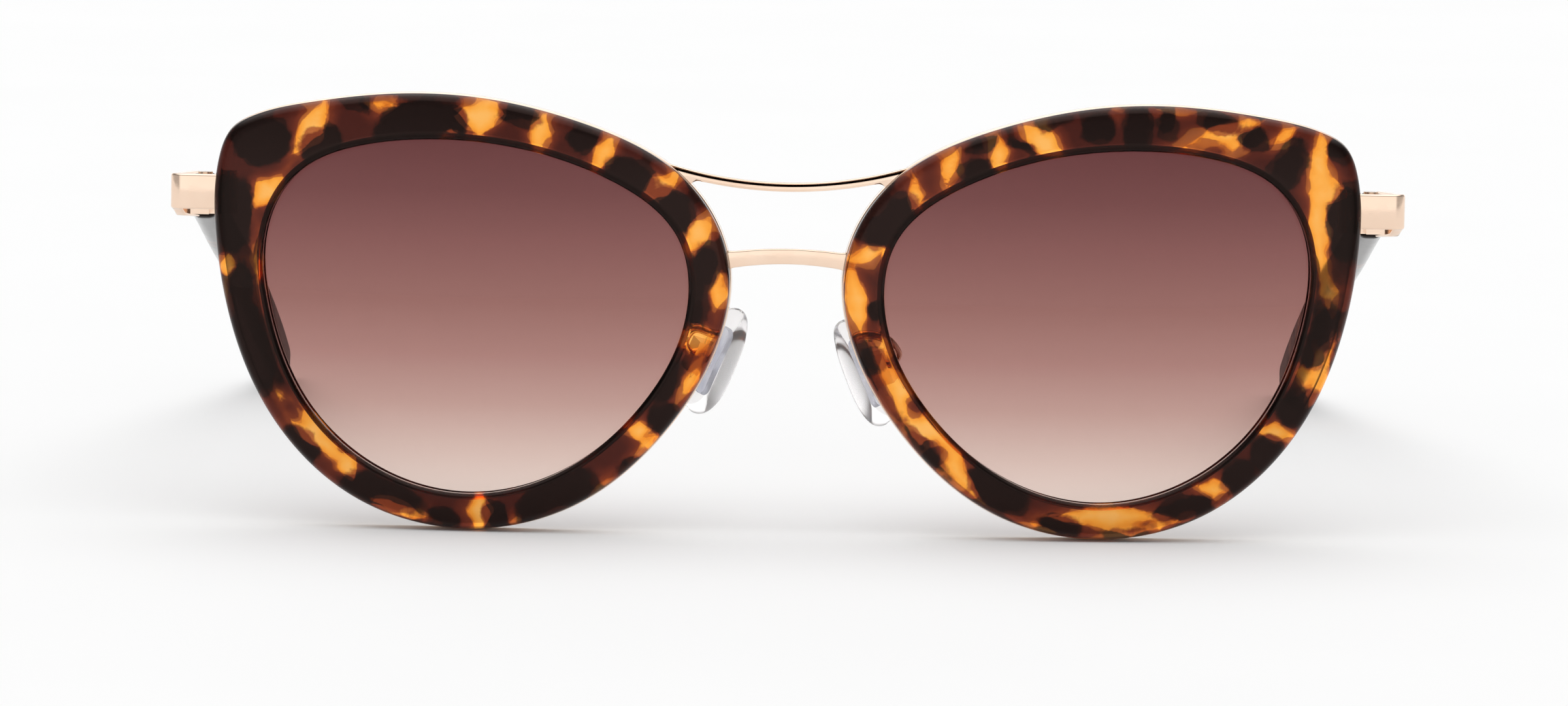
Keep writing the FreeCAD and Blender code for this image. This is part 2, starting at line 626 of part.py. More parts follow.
def make_pad_parts():
    """Pad, insert, box and screw in the pad's own frame, and the depth of the box's back."""
    outline = [
        (0.0, PAD_LENGTH / 2), (PAD_WIDTH * 0.30, PAD_LENGTH * 0.40), (PAD_WIDTH / 2, 0.6),
        (PAD_WIDTH * 0.40, -PAD_LENGTH * 0.33), (0.0, -PAD_LENGTH / 2),
        (-PAD_WIDTH * 0.40, -PAD_LENGTH * 0.33), (-PAD_WIDTH / 2, 0.6),
        (-PAD_WIDTH * 0.30, PAD_LENGTH * 0.40),
    ]
    half = PAD_THICKNESS / 2
    axis_y = -half - PAD_SCREW_DEPTH
    cushion = prism(outline, -half, half)
    cushion = cushion.makeFillet(PAD_ROUND, [e for e in cushion.Edges if e.Length > PAD_LENGTH])

    half_width = INSERT_WIDTH / 2
    half_length = INSERT_LENGTH / 2
    plate = box(-half_width, half_width, -INSERT_THICKNESS, 0.0, -half_length, half_length)
    corners = [e for e in plate.Edges if e.BoundBox.YLength > INSERT_THICKNESS / 2]
    plate = plate.makeFillet(INSERT_ROUND, corners)
    tab_x = TAB_THICK / 2
    tab_z = TAB_LONG / 2
    tab = box(-tab_x, tab_x, -half - TAB_REACH, -INSERT_THICKNESS, -tab_z, tab_z)
    insert = solid_of(plate.fuse(tab).cut(cross_bore(PAD_SCREW_R + RUNNING_GAP, axis_y)))
    cushion = solid_of(cushion.cut(insert))

    inner_x = tab_x + BOX_SIDE_ROOM
    inner_z = tab_z + BOX_END_ROOM
    outer_x = inner_x + BOX_WALL
    outer_z = inner_z + BOX_WALL
    mouth = -half - BOX_GAP
    floor = -half - TAB_REACH - BOX_DEPTH_ROOM
    back = floor - BOX_WALL
    shell = box(-outer_x, outer_x, back, mouth, -outer_z, outer_z)
    shell = shell.cut(box(-inner_x, inner_x, floor, half, -inner_z, inner_z))
    shell = shell.cut(cross_bore(PAD_SCREW_R + FIT_GAP, axis_y))

    shank = Part.makeCylinder(PAD_SCREW_R, 2 * outer_x, Vector(-outer_x, axis_y, 0), OUTWARD)
    head = Part.makeCylinder(PAD_HEAD_R, PAD_HEAD_HEIGHT, Vector(outer_x, axis_y, 0), OUTWARD)
    screw = solid_of(shank.fuse(head))
    return cushion, insert, shell, screw, back


def make_pad_arm(placement, box_depth, pad_box, rim_pieces):
    """Bent wire from the rear edge of the eyewire to the back of the pad's box."""
    box_back = placement.multVec(Vector(0, box_depth, 0))
    into_box = placement.Rotation.multVec(Vector(0, 1, 0))
    root = Vector(*PAD_ARM_ROOT)
    turn = box_back + Vector(*PAD_ARM_TURN)
    entry = (box_back - turn).normalize()
    points = [
        root,
        root + Vector(*PAD_ARM_LEAD),
        box_back + Vector(*PAD_ARM_CREST),
        turn,
        box_back + into_box * PAD_ARM_SINK,
    ]
    curve = Part.BSplineCurve()
    curve.interpolate(Points=points, InitialTangent=BACK, FinalTangent=entry + into_box)
    path = Part.Wire(curve.toShape())
    start_circle = Part.Wire(Part.Circle(root, BACK, PAD_ARM_R).toShape())
    arm = path.makePipeShell([start_circle], True, True).cut(pad_box)
    for piece in rim_pieces:
        arm = arm.cut(piece)
    return solid_of(arm)


# ---- assembly -------------------------------------------------------------------------------

def lowest(shape):
    """The lowest point of a shape, found on its surface."""
    points = shape.tessellate(MESH_STEP)[0]
    return min(points, key=lambda point: point.z)


def build():
    """Every node's solids by name, in the upright frame of the front."""
    nodes = {}
    filler = rim_filler()
    rim = turned(make_acetate_rim())
    lens = turned(make_lens())
    eyewire = turned(make_eyewire())
    end_piece = make_end_piece(filler)
    upper_lock, lower_lock = make_locks(filler)
    lock_screw = make_lock_screw()
    hinge_front = make_hinge_front(end_piece)
    hinge_temple = make_hinge_temple()
    hinge_screw = make_hinge_screw()
    core = make_temple_core()
    rivets = make_rivets()
    hinge_temple = solid_of(hinge_temple.cut(rivets))
    temple = make_temple(core, rivets, hinge_temple)

    left_pieces = {
        "acetate_rim": [rim],
        "lens": [lens],
        "eyewire": [eyewire],
        "end_piece": [end_piece],
        "lock_block_upper": [upper_lock],
        "lock_block_lower": [lower_lock],
        "hinge_front": [hinge_front],
        "hinge_temple": [hinge_temple],
        "temple_core": [core],
        "temple": [temple],
        "temple_rivets": rivets,
    }
    for name, solids in left_pieces.items():
        nodes[name + "_left"] = solids
        nodes[name + "_right"] = [mirrored(solid) for solid in solids]
    nodes["lock_screws"] = [lock_screw, mirrored(lock_screw)]
    nodes["hinge_screws"] = [hinge_screw, mirrored(hinge_screw)]

    cushion, insert, shell, pad_screw, box_depth = make_pad_parts()
    nodes["pad_screws"] = []
    for side_name in ("left", "right"):
        placement = pad_frame(side_name)
        pieces = {
            "nose_pad": placed(cushion, placement),
            "pad_insert": placed(insert, placement),
            "pad_box": placed(shell, placement),
        }
        screw = placed(pad_screw, placement)
        arm = make_pad_arm(placement, box_depth, pieces["pad_box"], [eyewire, rim])
        pieces["pad_arm"] = arm
        if side_name == "right":
            pieces = {name: mirrored(piece) for name, piece in pieces.items()}
            screw = mirrored(screw)
        for name, piece in pieces.items():
            nodes[name + "_" + side_name] = [piece]
        nodes["pad_screws"].append(screw)

    nodes["lower_bridge"] = [make_lower_bridge(filler)]
    nodes["brow_bar"] = [make_brow_bar(filler)]
    return nodes


def stand_on_table(nodes):
    """Lean the pair back onto its rims and temple tips, and put the origin under its middle."""
    rim_foot = lowest(nodes["eyewire_left"][0])
    tip_foot = lowest(nodes["temple_left"][0])
    lean = 0.0
    for _ in range(LEAN_ROUNDS):
        lean += math.degrees(math.atan2(tip_foot.z - rim_foot.z, tip_foot.y - rim_foot.y))
        trial = [nodes["eyewire_left"][0].copy(), nodes["temple_left"][0].copy()]
        for shape in trial:
            shape.rotate(Vector(0, 0, 0), OUTWARD, -lean)
        rim_foot, tip_foot = lowest(trial[0]), lowest(trial[1])
    points = []
    for solids in nodes.values():
        for solid in solids:
            solid.rotate(Vector(0, 0, 0), OUTWARD, -lean)
            points.extend(solid.tessellate(MESH_STEP)[0])
    low = [min(p.x for p in points), min(p.y for p in points), min(p.z for p in points)]
    top = [max(p.x for p in points), max(p.y for p in points), max(p.z for p in points)]
    shift = Vector(-(low[0] + top[0]) / 2, -(low[1] + top[1]) / 2, -low[2])
    for solids in nodes.values():
        for solid in solids:
            solid.translate(shift)
    print("lean %.3f degrees, shift %.3f %.3f %.3f" % (lean, shift.x, shift.y, shift.z))
    print("size %.2f %.2f %.2f" % tuple(b - a for a, b in zip(low, top)))


def main():
    nodes = build()
    stand_on_table(nodes)
    for name, solids in sorted(nodes.items()):
        for solid in solids:
            if not solid.isValid() or solid.Volume <= 0:
                print("check", name, solid.isValid(), solid.Volume)
        shape = solids[0] if len(solids) == 1 else Part.makeCompound(solids)
        shape.exportStep("parts/" + name + ".step")
    print(len(nodes), "nodes")


main()
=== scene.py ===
"""Looks of the cat eye sunglasses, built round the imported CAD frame.

Lengths are millimetres in the upright frame of the front (X to the wearer's left, Y back,
Z up), as in the CAD source, and to_row() turns them into the row frame in metres.
"""

import json
import math
import random

import bmesh
import bpy
import numpy as np
from mathutils import Matrix, Vector


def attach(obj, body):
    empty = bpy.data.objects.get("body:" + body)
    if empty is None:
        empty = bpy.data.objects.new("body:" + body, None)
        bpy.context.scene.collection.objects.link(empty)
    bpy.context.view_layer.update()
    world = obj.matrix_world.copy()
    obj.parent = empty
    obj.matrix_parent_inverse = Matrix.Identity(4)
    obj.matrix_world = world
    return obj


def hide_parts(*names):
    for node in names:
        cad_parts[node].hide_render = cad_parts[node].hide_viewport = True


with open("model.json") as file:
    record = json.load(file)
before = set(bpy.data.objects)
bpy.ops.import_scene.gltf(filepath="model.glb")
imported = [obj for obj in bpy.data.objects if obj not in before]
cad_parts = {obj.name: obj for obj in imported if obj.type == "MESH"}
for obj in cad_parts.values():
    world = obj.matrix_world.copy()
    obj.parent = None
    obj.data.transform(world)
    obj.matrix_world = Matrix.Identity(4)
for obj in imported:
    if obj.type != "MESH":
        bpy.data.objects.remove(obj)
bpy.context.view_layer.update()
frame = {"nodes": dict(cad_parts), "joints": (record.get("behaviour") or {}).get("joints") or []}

# ---- dimensions, as in the CAD source ---------------------------------------------------------

RIM_CENTRE_X = 36.6
BASE_RADIUS = 134.0
FACE_FORM_DEG = 3.0
FACE_FORM_X = 6.7
BRIDGE_FRONT = 5.6
RIM_THICKNESS = 4.0
OUTER_ROUND = 1.0
INNER_ROUND = 0.7
BAND_THICKNESS = 0.5
BAND_PROUD = 0.1
BAND_FRONT = 1.8
BAND_BACK = 4.15
SPLIT_Z = 13.3
LENS_FRONT = 1.4
LENS_BACK = 3.3
LENS_Y = 6.0                # how far back a lens is, about
LENS_BITE = 0.7             # the lens goes this far into the rim's groove
FIT_GAP = 0.03
BROW_TOP = 15.72            # the brow bar's edges at the middle, and their radii
BROW_TOP_RADIUS = 49.5
BROW_LOW = 14.65
BROW_LOW_RADIUS = 50.0
PLATE_LOW = 11.3
PLATE_TOP = 15.4
HINGE_POINT = (65.6, 17.1, 12.65)

RIM_OUTLINE = [
    (65.5, 0.4), (66.9, 8.5), (66.7, 17.6), (65.4, 20.7), (62.8, 22.4), (56.4, 24.1),
    (46.0, 25.4), (36.6, 25.2), (23.9, 22.4), (11.1, 15.2), (6.6, 6.0), (8.2, -4.3),
    (13.3, -13.0), (23.6, -22.1), (36.6, -25.4), (49.7, -22.2), (59.8, -12.9),
]
APERTURE_OUTLINE = [
    (60.3, 0.4), (61.0, 7.0), (59.1, 13.4), (56.0, 16.7), (49.7, 19.2), (41.9, 20.1),
    (31.5, 19.3), (21.1, 16.0), (12.6, 9.1), (11.5, 0.4), (17.0, -10.9), (25.8, -18.3),
    (36.6, -21.1), (47.4, -18.3), (55.8, -10.7),
]
TEMPLE_LINE = [
    (17.15, 12.5, 68.8, 5.3, 3.40),
    (28.0, 10.3, 68.8, 5.2, 3.40),
    (45.0, 6.8, 68.9, 5.0, 3.35),
    (62.0, 3.4, 68.9, 4.9, 3.30),
    (78.0, 0.2, 68.8, 5.1, 3.20),
    (92.0, -3.2, 68.6, 5.4, 3.10),
    (106.0, -7.2, 68.3, 5.7, 3.00),
    (120.0, -11.2, 68.1, 5.8, 3.00),
    (134.0, -15.3, 67.95, 5.6, 2.95),
    (140.0, -17.0, 67.9, 5.2, 2.90),
]
TEMPLE_END = (144.3, -18.2, 67.85)
PADS = {"left": (9.2, -6.9, 19.0), "right": (8.1, -5.8, 26.0)}
PAD_MIDDLE_Y = 13.0
PAD_LEAN_DEG = 23.0
PAD_TILT_DEG = 8.0
PAD_LENGTH = 13.6
PAD_WIDTH = 7.2
PAD_THICKNESS = 2.7

# ---- frames -----------------------------------------------------------------------------------

fold = next(j for j in frame["joints"] if j["name"] == "temple_left_fold")
lean_sin, lean_cos = fold["axis"][1], fold["axis"][2]
LEAN = np.array([[1, 0, 0], [0, lean_cos, lean_sin], [0, -lean_sin, lean_cos]], float)
SHIFT = np.array(fold["pos_m"]) * 1000 - LEAN @ np.array(HINGE_POINT)


def to_row(points):
    """Points in the front's own frame, in mm, to the row frame in metres."""
    return (np.asarray(points, float) @ LEAN.T + SHIFT) / 1000


def on_bowl(flat, depth):
    """Points (x, z) set on the sphere this far behind the front, then turned by the face form."""
    flat = np.asarray(flat, float)
    depth = np.broadcast_to(np.asarray(depth, float), flat.shape[:-1])
    spread = (flat[..., 0] - RIM_CENTRE_X) ** 2 + flat[..., 1] ** 2
    y = BASE_RADIUS - np.sqrt((BASE_RADIUS - depth) ** 2 - spread)
    c, s = math.cos(math.radians(FACE_FORM_DEG)), math.sin(math.radians(FACE_FORM_DEG))
    dx, dy = flat[..., 0] - FACE_FORM_X, y - BRIDGE_FRONT
    x, y = FACE_FORM_X + dx * c - dy * s, BRIDGE_FRONT + dx * s + dy * c
    return np.stack([x, y, flat[..., 1]], -1)


# ---- curves -----------------------------------------------------------------------------------

def closed_spline(points, per_span=40):
    """Dense points of the smooth closed curve through the given ones."""
    p = np.array(points, float)
    n = len(p)
    ahead = np.roll(p, -1, 0)
    h = np.linalg.norm(ahead - p, axis=1)
    a = np.zeros((n, n))
    b = np.zeros_like(p)
    for i in range(n):
        before, after = h[i - 1], h[i]
        a[i, i - 1] += before / 6
        a[i, i] += (before + after) / 3
        a[i, (i + 1) % n] += after / 6
        b[i] = (p[(i + 1) % n] - p[i]) / after - (p[i] - p[i - 1]) / before
    m = np.linalg.solve(a, b)
    out = []
    for i in range(n):
        j = (i + 1) % n
        t = np.linspace(0, h[i], per_span, endpoint=False)[:, None]
        r = h[i] - t
        out.append(
            m[i] * r ** 3 / (6 * h[i]) + m[j] * t ** 3 / (6 * h[i])
            + (p[i] / h[i] - m[i] * h[i] / 6) * r + (p[j] / h[i] - m[j] * h[i] / 6) * t
        )
    return np.concatenate(out)


def open_spline(points, count):
    """count points of the smooth open curve through the given ones, evenly along it."""
    p = np.array(points, float)
    n = len(p)
    h = np.linalg.norm(p[1:, :2] - p[:-1, :2], axis=1)
    a = np.zeros((n, n))
    b = np.zeros_like(p)
    a[0, 0] = a[-1, -1] = 1
    for i in range(1, n - 1):
        a[i, i - 1], a[i, i], a[i, i + 1] = h[i - 1] / 6, (h[i - 1] + h[i]) / 3, h[i] / 6
        b[i] = (p[i + 1] - p[i]) / h[i] - (p[i] - p[i - 1]) / h[i - 1]
    m = np.linalg.solve(a, b)
    dense = []
    for i in range(n - 1):
        t = np.linspace(0, h[i], 60, endpoint=i == n - 2)[:, None]
        r = h[i] - t
        dense.append(
            m[i] * r ** 3 / (6 * h[i]) + m[i + 1] * t ** 3 / (6 * h[i])
            + (p[i] / h[i] - m[i] * h[i] / 6) * r + (p[i + 1] / h[i] - m[i + 1] * h[i] / 6) * t
        )
    return evenly(np.concatenate(dense), count)


def evenly(points, count):
    """count points evenly spaced along an open polyline, both ends included."""
    steps = np.linalg.norm(np.diff(points[:, :2], axis=0), axis=1)
    along = np.concatenate([[0], np.cumsum(steps)])
    at = np.linspace(0, along[-1], count)
    return np.stack([np.interp(at, along, points[:, k]) for k in range(points.shape[1])], 1)


def outward(points, closed=True):
    """Unit normals of a counterclockwise curve of points (x, z), pointing outwards."""
    if closed:
        along = np.roll(points, -1, 0) - np.roll(points, 1, 0)
    else:
        along = np.gradient(points, axis=0)
    along = along / np.linalg.norm(along, axis=1)[:, None]
    return np.stack([along[:, 1], -along[:, 0]], 1)


MIDDLE = np.array([37.5, 0.0])      # stations round the rim are rays from this point


def stations(outline, aperture, count):
    """Matching points of the two closed curves on rays from the rim's middle."""
    dense_out, dense_in = closed_spline(outline), closed_spline(aperture)
    closed = np.concatenate([dense_out, dense_out[:1]])
    even = evenly(closed, count + 1)[:-1]
    angle = np.arctan2(even[:, 1] - MIDDLE[1], even[:, 0] - MIDDLE[0])
    turn = np.arctan2(dense_in[:, 1] - MIDDLE[1], dense_in[:, 0] - MIDDLE[0])
    order = np.argsort(turn)
    turn, reach = turn[order], np.linalg.norm(dense_in - MIDDLE, axis=1)[order]
    radius = np.interp(angle, turn, reach, period=2 * math.pi)
    inner = MIDDLE + np.stack([np.cos(angle), np.sin(angle)], 1) * radius[:, None]
    return even, inner, angle


# ---- meshes -----------------------------------------------------------------------------------

def ring_faces(loops, count, closed_across=True, closed_along=True):
    """Quads of a grid: loops rows of count points.  Rows run round, columns run along."""
    faces = []
    for i in range(loops if closed_across else loops - 1):
        j = (i + 1) % loops
        for k in range(count if closed_along else count - 1):
            m = (k + 1) % count
            faces.append((i * count + k, i * count + m, j * count + m, j * count + k))
    return faces


def end_faces(loops, count):
    """The faces that close a grid of loops rows at its first and last column."""
    return [tuple(i * count for i in range(loops)),
            tuple(i * count + count - 1 for i in reversed(range(loops)))]


def fans(loops, count):
    """Triangles from the first and last rows to the two points that come after the rows."""
    first, last, base = loops * count, loops * count + 1, (loops - 1) * count
    faces = []
    for k in range(count):
        m = (k + 1) % count
        faces += [(first, m, k), (last, base + k, base + m)]
    return faces


# sideways, upwards, and where the round of that corner starts, in degrees
CORNERS = ((1, 1, 0), (-1, 1, 90), (-1, -1, 180), (1, -1, 270))


def quarter(start_deg, count):
    """count unit steps (cosine, sine) round a quarter turn."""
    angles = [math.radians(start_deg + 90 * k / (count - 1)) for k in range(count)]
    return [(math.cos(a), math.sin(a)) for a in angles]


def upright(flat, y):
    """Points (x, z) put at this distance back."""
    return np.stack([flat[:, 0], np.full(len(flat), y), flat[:, 1]], 1)


def make_piece(name, points, faces, body, material, replaces=(), mirror=False,
               crease=35.0, veils=None, marks=None):
    """A mesh piece from points in the front's frame, with its faces turned outwards.

    It stands for the CAD nodes named in replaces.  veils are per-point attributes, marks are
    per-face material numbers, and edges sharper than crease degrees stay sharp.
    """
    points = np.array(points, float).reshape(-1, 3)
    if mirror:
        points = points * np.array([-1, 1, 1])
        faces = [face[::-1] for face in faces]
    mesh = bpy.data.meshes.new(name)
    mesh.from_pydata([tuple(p) for p in to_row(points)], [], faces)
    shell = bmesh.new()
    shell.from_mesh(mesh)
    bmesh.ops.recalc_face_normals(shell, faces=shell.faces)
    shell.to_mesh(mesh)
    shell.free()
    materials = material if isinstance(material, (list, tuple)) else [material]
    for one in materials:
        mesh.materials.append(one)
    if marks is not None:
        mesh.polygons.foreach_set("material_index", np.array(marks, np.int32))
    for key, values in (veils or {}).items():
        attribute = mesh.attributes.new(key, "FLOAT", "POINT")
        attribute.data.foreach_set("value", np.asarray(values, np.float32).ravel())
    mesh.validate()
    mesh.shade_smooth()
    mesh.set_sharp_from_angle(angle=math.radians(crease))
    mesh.update()
    piece = bpy.data.objects.new(name, mesh)
    bpy.context.scene.collection.objects.link(piece)
    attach(piece, body)
    if replaces:
        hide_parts(*replaces)
    return piece


# ---- tortoise pattern -------------------------------------------------------------------------

def wavy(points, size, amount, seed):
    """Points moved about smoothly, so that round patches get irregular edges."""
    rng = np.random.default_rng(seed)
    moved = points.copy()
    for octave in range(3):
        for _ in range(3):
            way = rng.normal(size=3)
            way *= 2 * math.pi / (size * rng.uniform(0.7, 1.4) / 1.9 ** octave) / np.linalg.norm(way)
            push = rng.normal(size=3)
            push *= amount / 1.9 ** octave / np.linalg.norm(push) / 1.7
            moved += np.sin(points @ way + rng.uniform(0, 6.3))[:, None] * push
    return moved


def patch_field(points, patches, soft=0.35, power=2.0):
    """How far inside the nearest patch each point is, in about mm; negative outside.

    A power of 2 gives ellipsoids; near 1 they get flat or hollow sides and pointed ends.
    """
    total = np.full(len(points), -50.0)
    for x, y, z, a, b, c, tilt in patches:
        q = points - np.array([x, y, z])
        cs, sn = math.cos(math.radians(tilt)), math.sin(math.radians(tilt))
        u = q[:, 0] * cs + q[:, 2] * sn
        w = -q[:, 0] * sn + q[:, 2] * cs
        parts = np.abs(u / a) ** power + np.abs(q[:, 1] / b) ** power + np.abs(w / c) ** power
        f = (1 - parts ** (1 / power)) * min(a, c)
        hi, lo = np.maximum(total, f), np.minimum(total, f)
        total = hi + soft * np.log1p(np.exp(np.clip((lo - hi) / soft, -40, 0)))
    return total


def scattered(low, high, step, size, seed, keep=1.0):
    """Ellipsoid patches on a shaken grid through a box.  keep is the share that is made."""
    rng = random.Random(seed)
    patches = []
    spans = [max(1, round((b - a) / s)) for a, b, s in zip(low, high, step)]
    for i in range(spans[0]):
        for j in range(spans[1]):
            for k in range(spans[2]):
                if rng.random() > keep:
                    continue
                at = [
                    a + (b - a) * (n + 0.5 + rng.uniform(-0.38, 0.38)) / total
                    for a, b, n, total in zip(low, high, (i, j, k), spans)
                ]
                radii = [size * rng.uniform(0.65, 1.3) for _ in range(3)]
                patches.append((*at, *radii, rng.uniform(0, 180)))
    return patches


# Patches seen on the front of each rim: distance from the middle of the nose,
# height, half length, half width, and the angle of the length from level.
AMBER = {
    "right": [
        (55.5, 21, 3.4, 1.1, 120), (47.5, 24, 1.6, 0.6, 10), (36, 23, 2.2, 1.7, 0),
        (29, 21, 1.9, 1.0, 100), (39.5, 20.5, 1.2, 0.5, 0), (21.5, 18.5, 1.9, 0.9, 120),
        (15, 15, 2.4, 1.1, 145), (10.5, 9.5, 2.0, 1.1, 125), (8, 3, 2.0, 0.8, 90),
        (10.5, -2.5, 1.8, 1.5, 0), (11, -7.5, 2.6, 0.8, 118), (17, -13, 1.3, 0.9, 0),
        (16, -15, 1.6, 0.7, 140), (21, -20, 2.0, 0.7, 148), (35.5, -23, 1.9, 1.1, 90),
        (31, -24.5, 0.6, 0.5, 0), (44.5, -23, 2.8, 0.7, 20), (55, -14, 4.6, 1.2, 45),
        (51, -18, 1.4, 1.0, 60), (60.5, 13.5, 2.1, 1.3, 130), (61.5, 5.5, 2.2, 0.5, 90),
        (65, 5, 1.1, 0.8, 90), (65.5, 2, 1.2, 0.4, 90),
    ],
    "left": [
        (9.5, 7.5, 1.8, 1.0, 20), (8, 2.5, 3.8, 0.9, 100), (19, 18, 2.1, 0.9, 75),
        (15, 14.5, 1.8, 0.8, 90), (24.5, 19.5, 2.0, 0.9, 100), (29.5, 21, 2.6, 1.2, 145),
        (45, 25, 2.0, 0.5, 0), (38, 25, 0.8, 0.4, 0), (50, 22, 4.2, 1.1, 18),
        (51.5, 20.5, 1.4, 0.7, 0), (57.5, 22, 1.6, 0.6, 30), (62, 17.5, 4.4, 1.1, 92),
        (62, 10.5, 4.6, 0.9, 95), (63, 15.5, 1.6, 1.1, 0), (63, 4, 2.0, 0.9, 100),
        (62.5, -5, 3.6, 0.8, 70), (60.5, -6, 1.2, 0.8, 90), (57.5, -12.5, 1.7, 0.9, 0),
        (50, -19, 1.6, 1.0, 0), (38, -22.5, 5.4, 1.1, 0), (40.5, -24, 1.4, 0.5, 0),
        (29.5, -24, 1.8, 0.5, 165), (44.5, -23.5, 1.5, 0.4, 15), (16.5, -12, 8.2, 1.6, 126),
        (11.5, -3.5, 1.6, 0.7, 100),
    ],
}
BLACK = {
    "right": [
        (61.5, 19.5, 3.4, 2.7, 0), (54.5, 19, 2.6, 1.8, 145), (64.5, 11, 4.3, 2.2, 90),
        (43.5, 22, 4.6, 2.3, 160), (39, 22, 1.8, 1.5, 90), (50.5, 24, 1.6, 0.8, 0),
        (31.5, 23, 2.4, 1.1, 10), (24, 20.5, 1.9, 1.5, 30), (18, 16, 3.2, 1.7, 30),
        (13.5, 12.5, 3.0, 2.0, 45), (9.5, 6, 2.4, 1.5, 90), (10.5, 2, 3.0, 1.0, 90),
        (14, -7.5, 2.9, 1.2, 115), (14, -12, 2.0, 1.8, 0), (18, -17.5, 1.8, 1.0, 140),
        (26.5, -21, 5.0, 1.9, 155), (33.5, -23.5, 1.6, 1.5, 90), (39.5, -24, 2.0, 1.0, 10),
        (47, -21, 4.8, 1.6, 20), (56.5, -16, 2.6, 1.7, 45), (62, -4.5, 5.8, 1.9, 75),
        (63.5, 2.5, 3.0, 1.3, 88),
    ],
    "left": [
        (12, 11.5, 3.8, 2.1, 42), (22, 17.5, 1.9, 1.4, 20), (22.5, 21, 2.0, 0.8, 30),
        (27, 20.5, 1.5, 0.7, 165), (30.5, 23.5, 2.1, 0.9, 10), (36, 22.5, 2.0, 1.7, 0),
        (40.5, 22.5, 2.4, 1.7, 90), (44, 23, 1.6, 1.1, 90), (50, 23.5, 2.2, 1.2, 170),
        (54, 21.5, 1.5, 1.4, 0), (58, 18.5, 3.1, 1.8, 62), (64.5, 20.5, 1.6, 1.2, 0),
        (65, 12, 4.2, 1.8, 90), (63, 0, 2.7, 1.6, 90), (61, -3, 1.8, 1.0, 90),
        (60, -9.5, 2.6, 2.0, 20), (56.5, -15, 2.1, 2.0, 0), (53, -17.5, 2.3, 1.8, 35),
        (46.5, -21.5, 3.2, 1.2, 15), (40.5, -24.5, 2.8, 0.6, 3), (32.5, -23.5, 2.4, 1.2, 170),
        (25, -19.5, 3.8, 2.1, 148), (16.5, -15, 4.0, 0.9, 131), (10, -4.5, 1.7, 1.3, 120),
        (10.5, 1, 1.2, 1.0, 0),
    ],
}
ISLANDS = {
    "right": [(57.5, -11.5, 1.6, 1.0, 60)],
    "left": [(17.5, -15.5, 1.3, 1.2, 0), (15.5, -10, 1.1, 1.0, 0), (49, 20.5, 1.3, 0.5, 170)],
}
RIM_MIDDLE_Y = 5.0          # the rim's patches lie round this depth
THROUGH = 1000.0            # and go right through it
WINDOW_SPREAD = 1.4         # the amber windows' pointed corners reach this much further


def rim_veils(points, side):
    """veil_a is the brown round the amber windows, veil_b the black patches."""
    seed = 11 if side == "left" else 23
    moved = wavy(wavy(points, 8.0, 0.5, seed), 2.6, 0.2, seed + 1)

    def field(patches, spread=1.0, soft=0.12, power=2.3):
        solid = [(x, RIM_MIDDLE_Y, z, a * spread, THROUGH, c * spread, t)
                 for x, z, a, c, t in patches]
        return patch_field(moved, solid, soft, power)

    windows = field(AMBER[side], WINDOW_SPREAD, soft=0.3, power=1.05)
    return {
        "veil_a": -np.minimum(windows, -field(ISLANDS[side])),
        "veil_b": field(BLACK[side], 1.05),
    }


SATIN_FROM, SATIN_OVER = 0.9, 0.5   # satin starts this far in from the middle, over this width


def temple_veils(points, side):
    """The same two fields for a temple, dark at both ends, and satin for its inner face."""
    seed = 41 if side == "left" else 57
    moved = wavy(points, 9.0, 0.6, seed)
    low, high = (64, 16, -22), (72, 140, 18)    # corners of the box that the patches fill
    dark_ends = [(68.8, 20, 11, 9, 26, 9, 0), (68, 140, -17, 6, 22, 6, 0)]
    first = scattered(low, high, (9, 6.5, 6.2), 4.4, seed) + dark_ends
    second = scattered(low, high, (9, 7.5, 7.0), 4.3, seed + 1) + dark_ends
    line_y, _, line_x, _, _ = zip(*TEMPLE_LINE)
    inwards = np.interp(points[:, 1], line_y, line_x) - points[:, 0]
    return {
        "veil_a": patch_field(moved, first),
        "veil_b": patch_field(moved, second),
        "satin": np.clip((inwards - SATIN_FROM) / SATIN_OVER, 0.0, 1.0),
    }


# ---- materials --------------------------------------------------------------------------------

def srgb(r, g, b):
    """A display colour, 0 to 255, as linear RGBA."""
    out = []
    for v in (r, g, b):
        v /= 255
        out.append(v / 12.92 if v <= 0.04045 else ((v + 0.055) / 1.055) ** 2.4)
    return (*out, 1.0)


ROUGH_NOISE = (0.35, 0.65)  # the part of a noise's range that the roughness follows


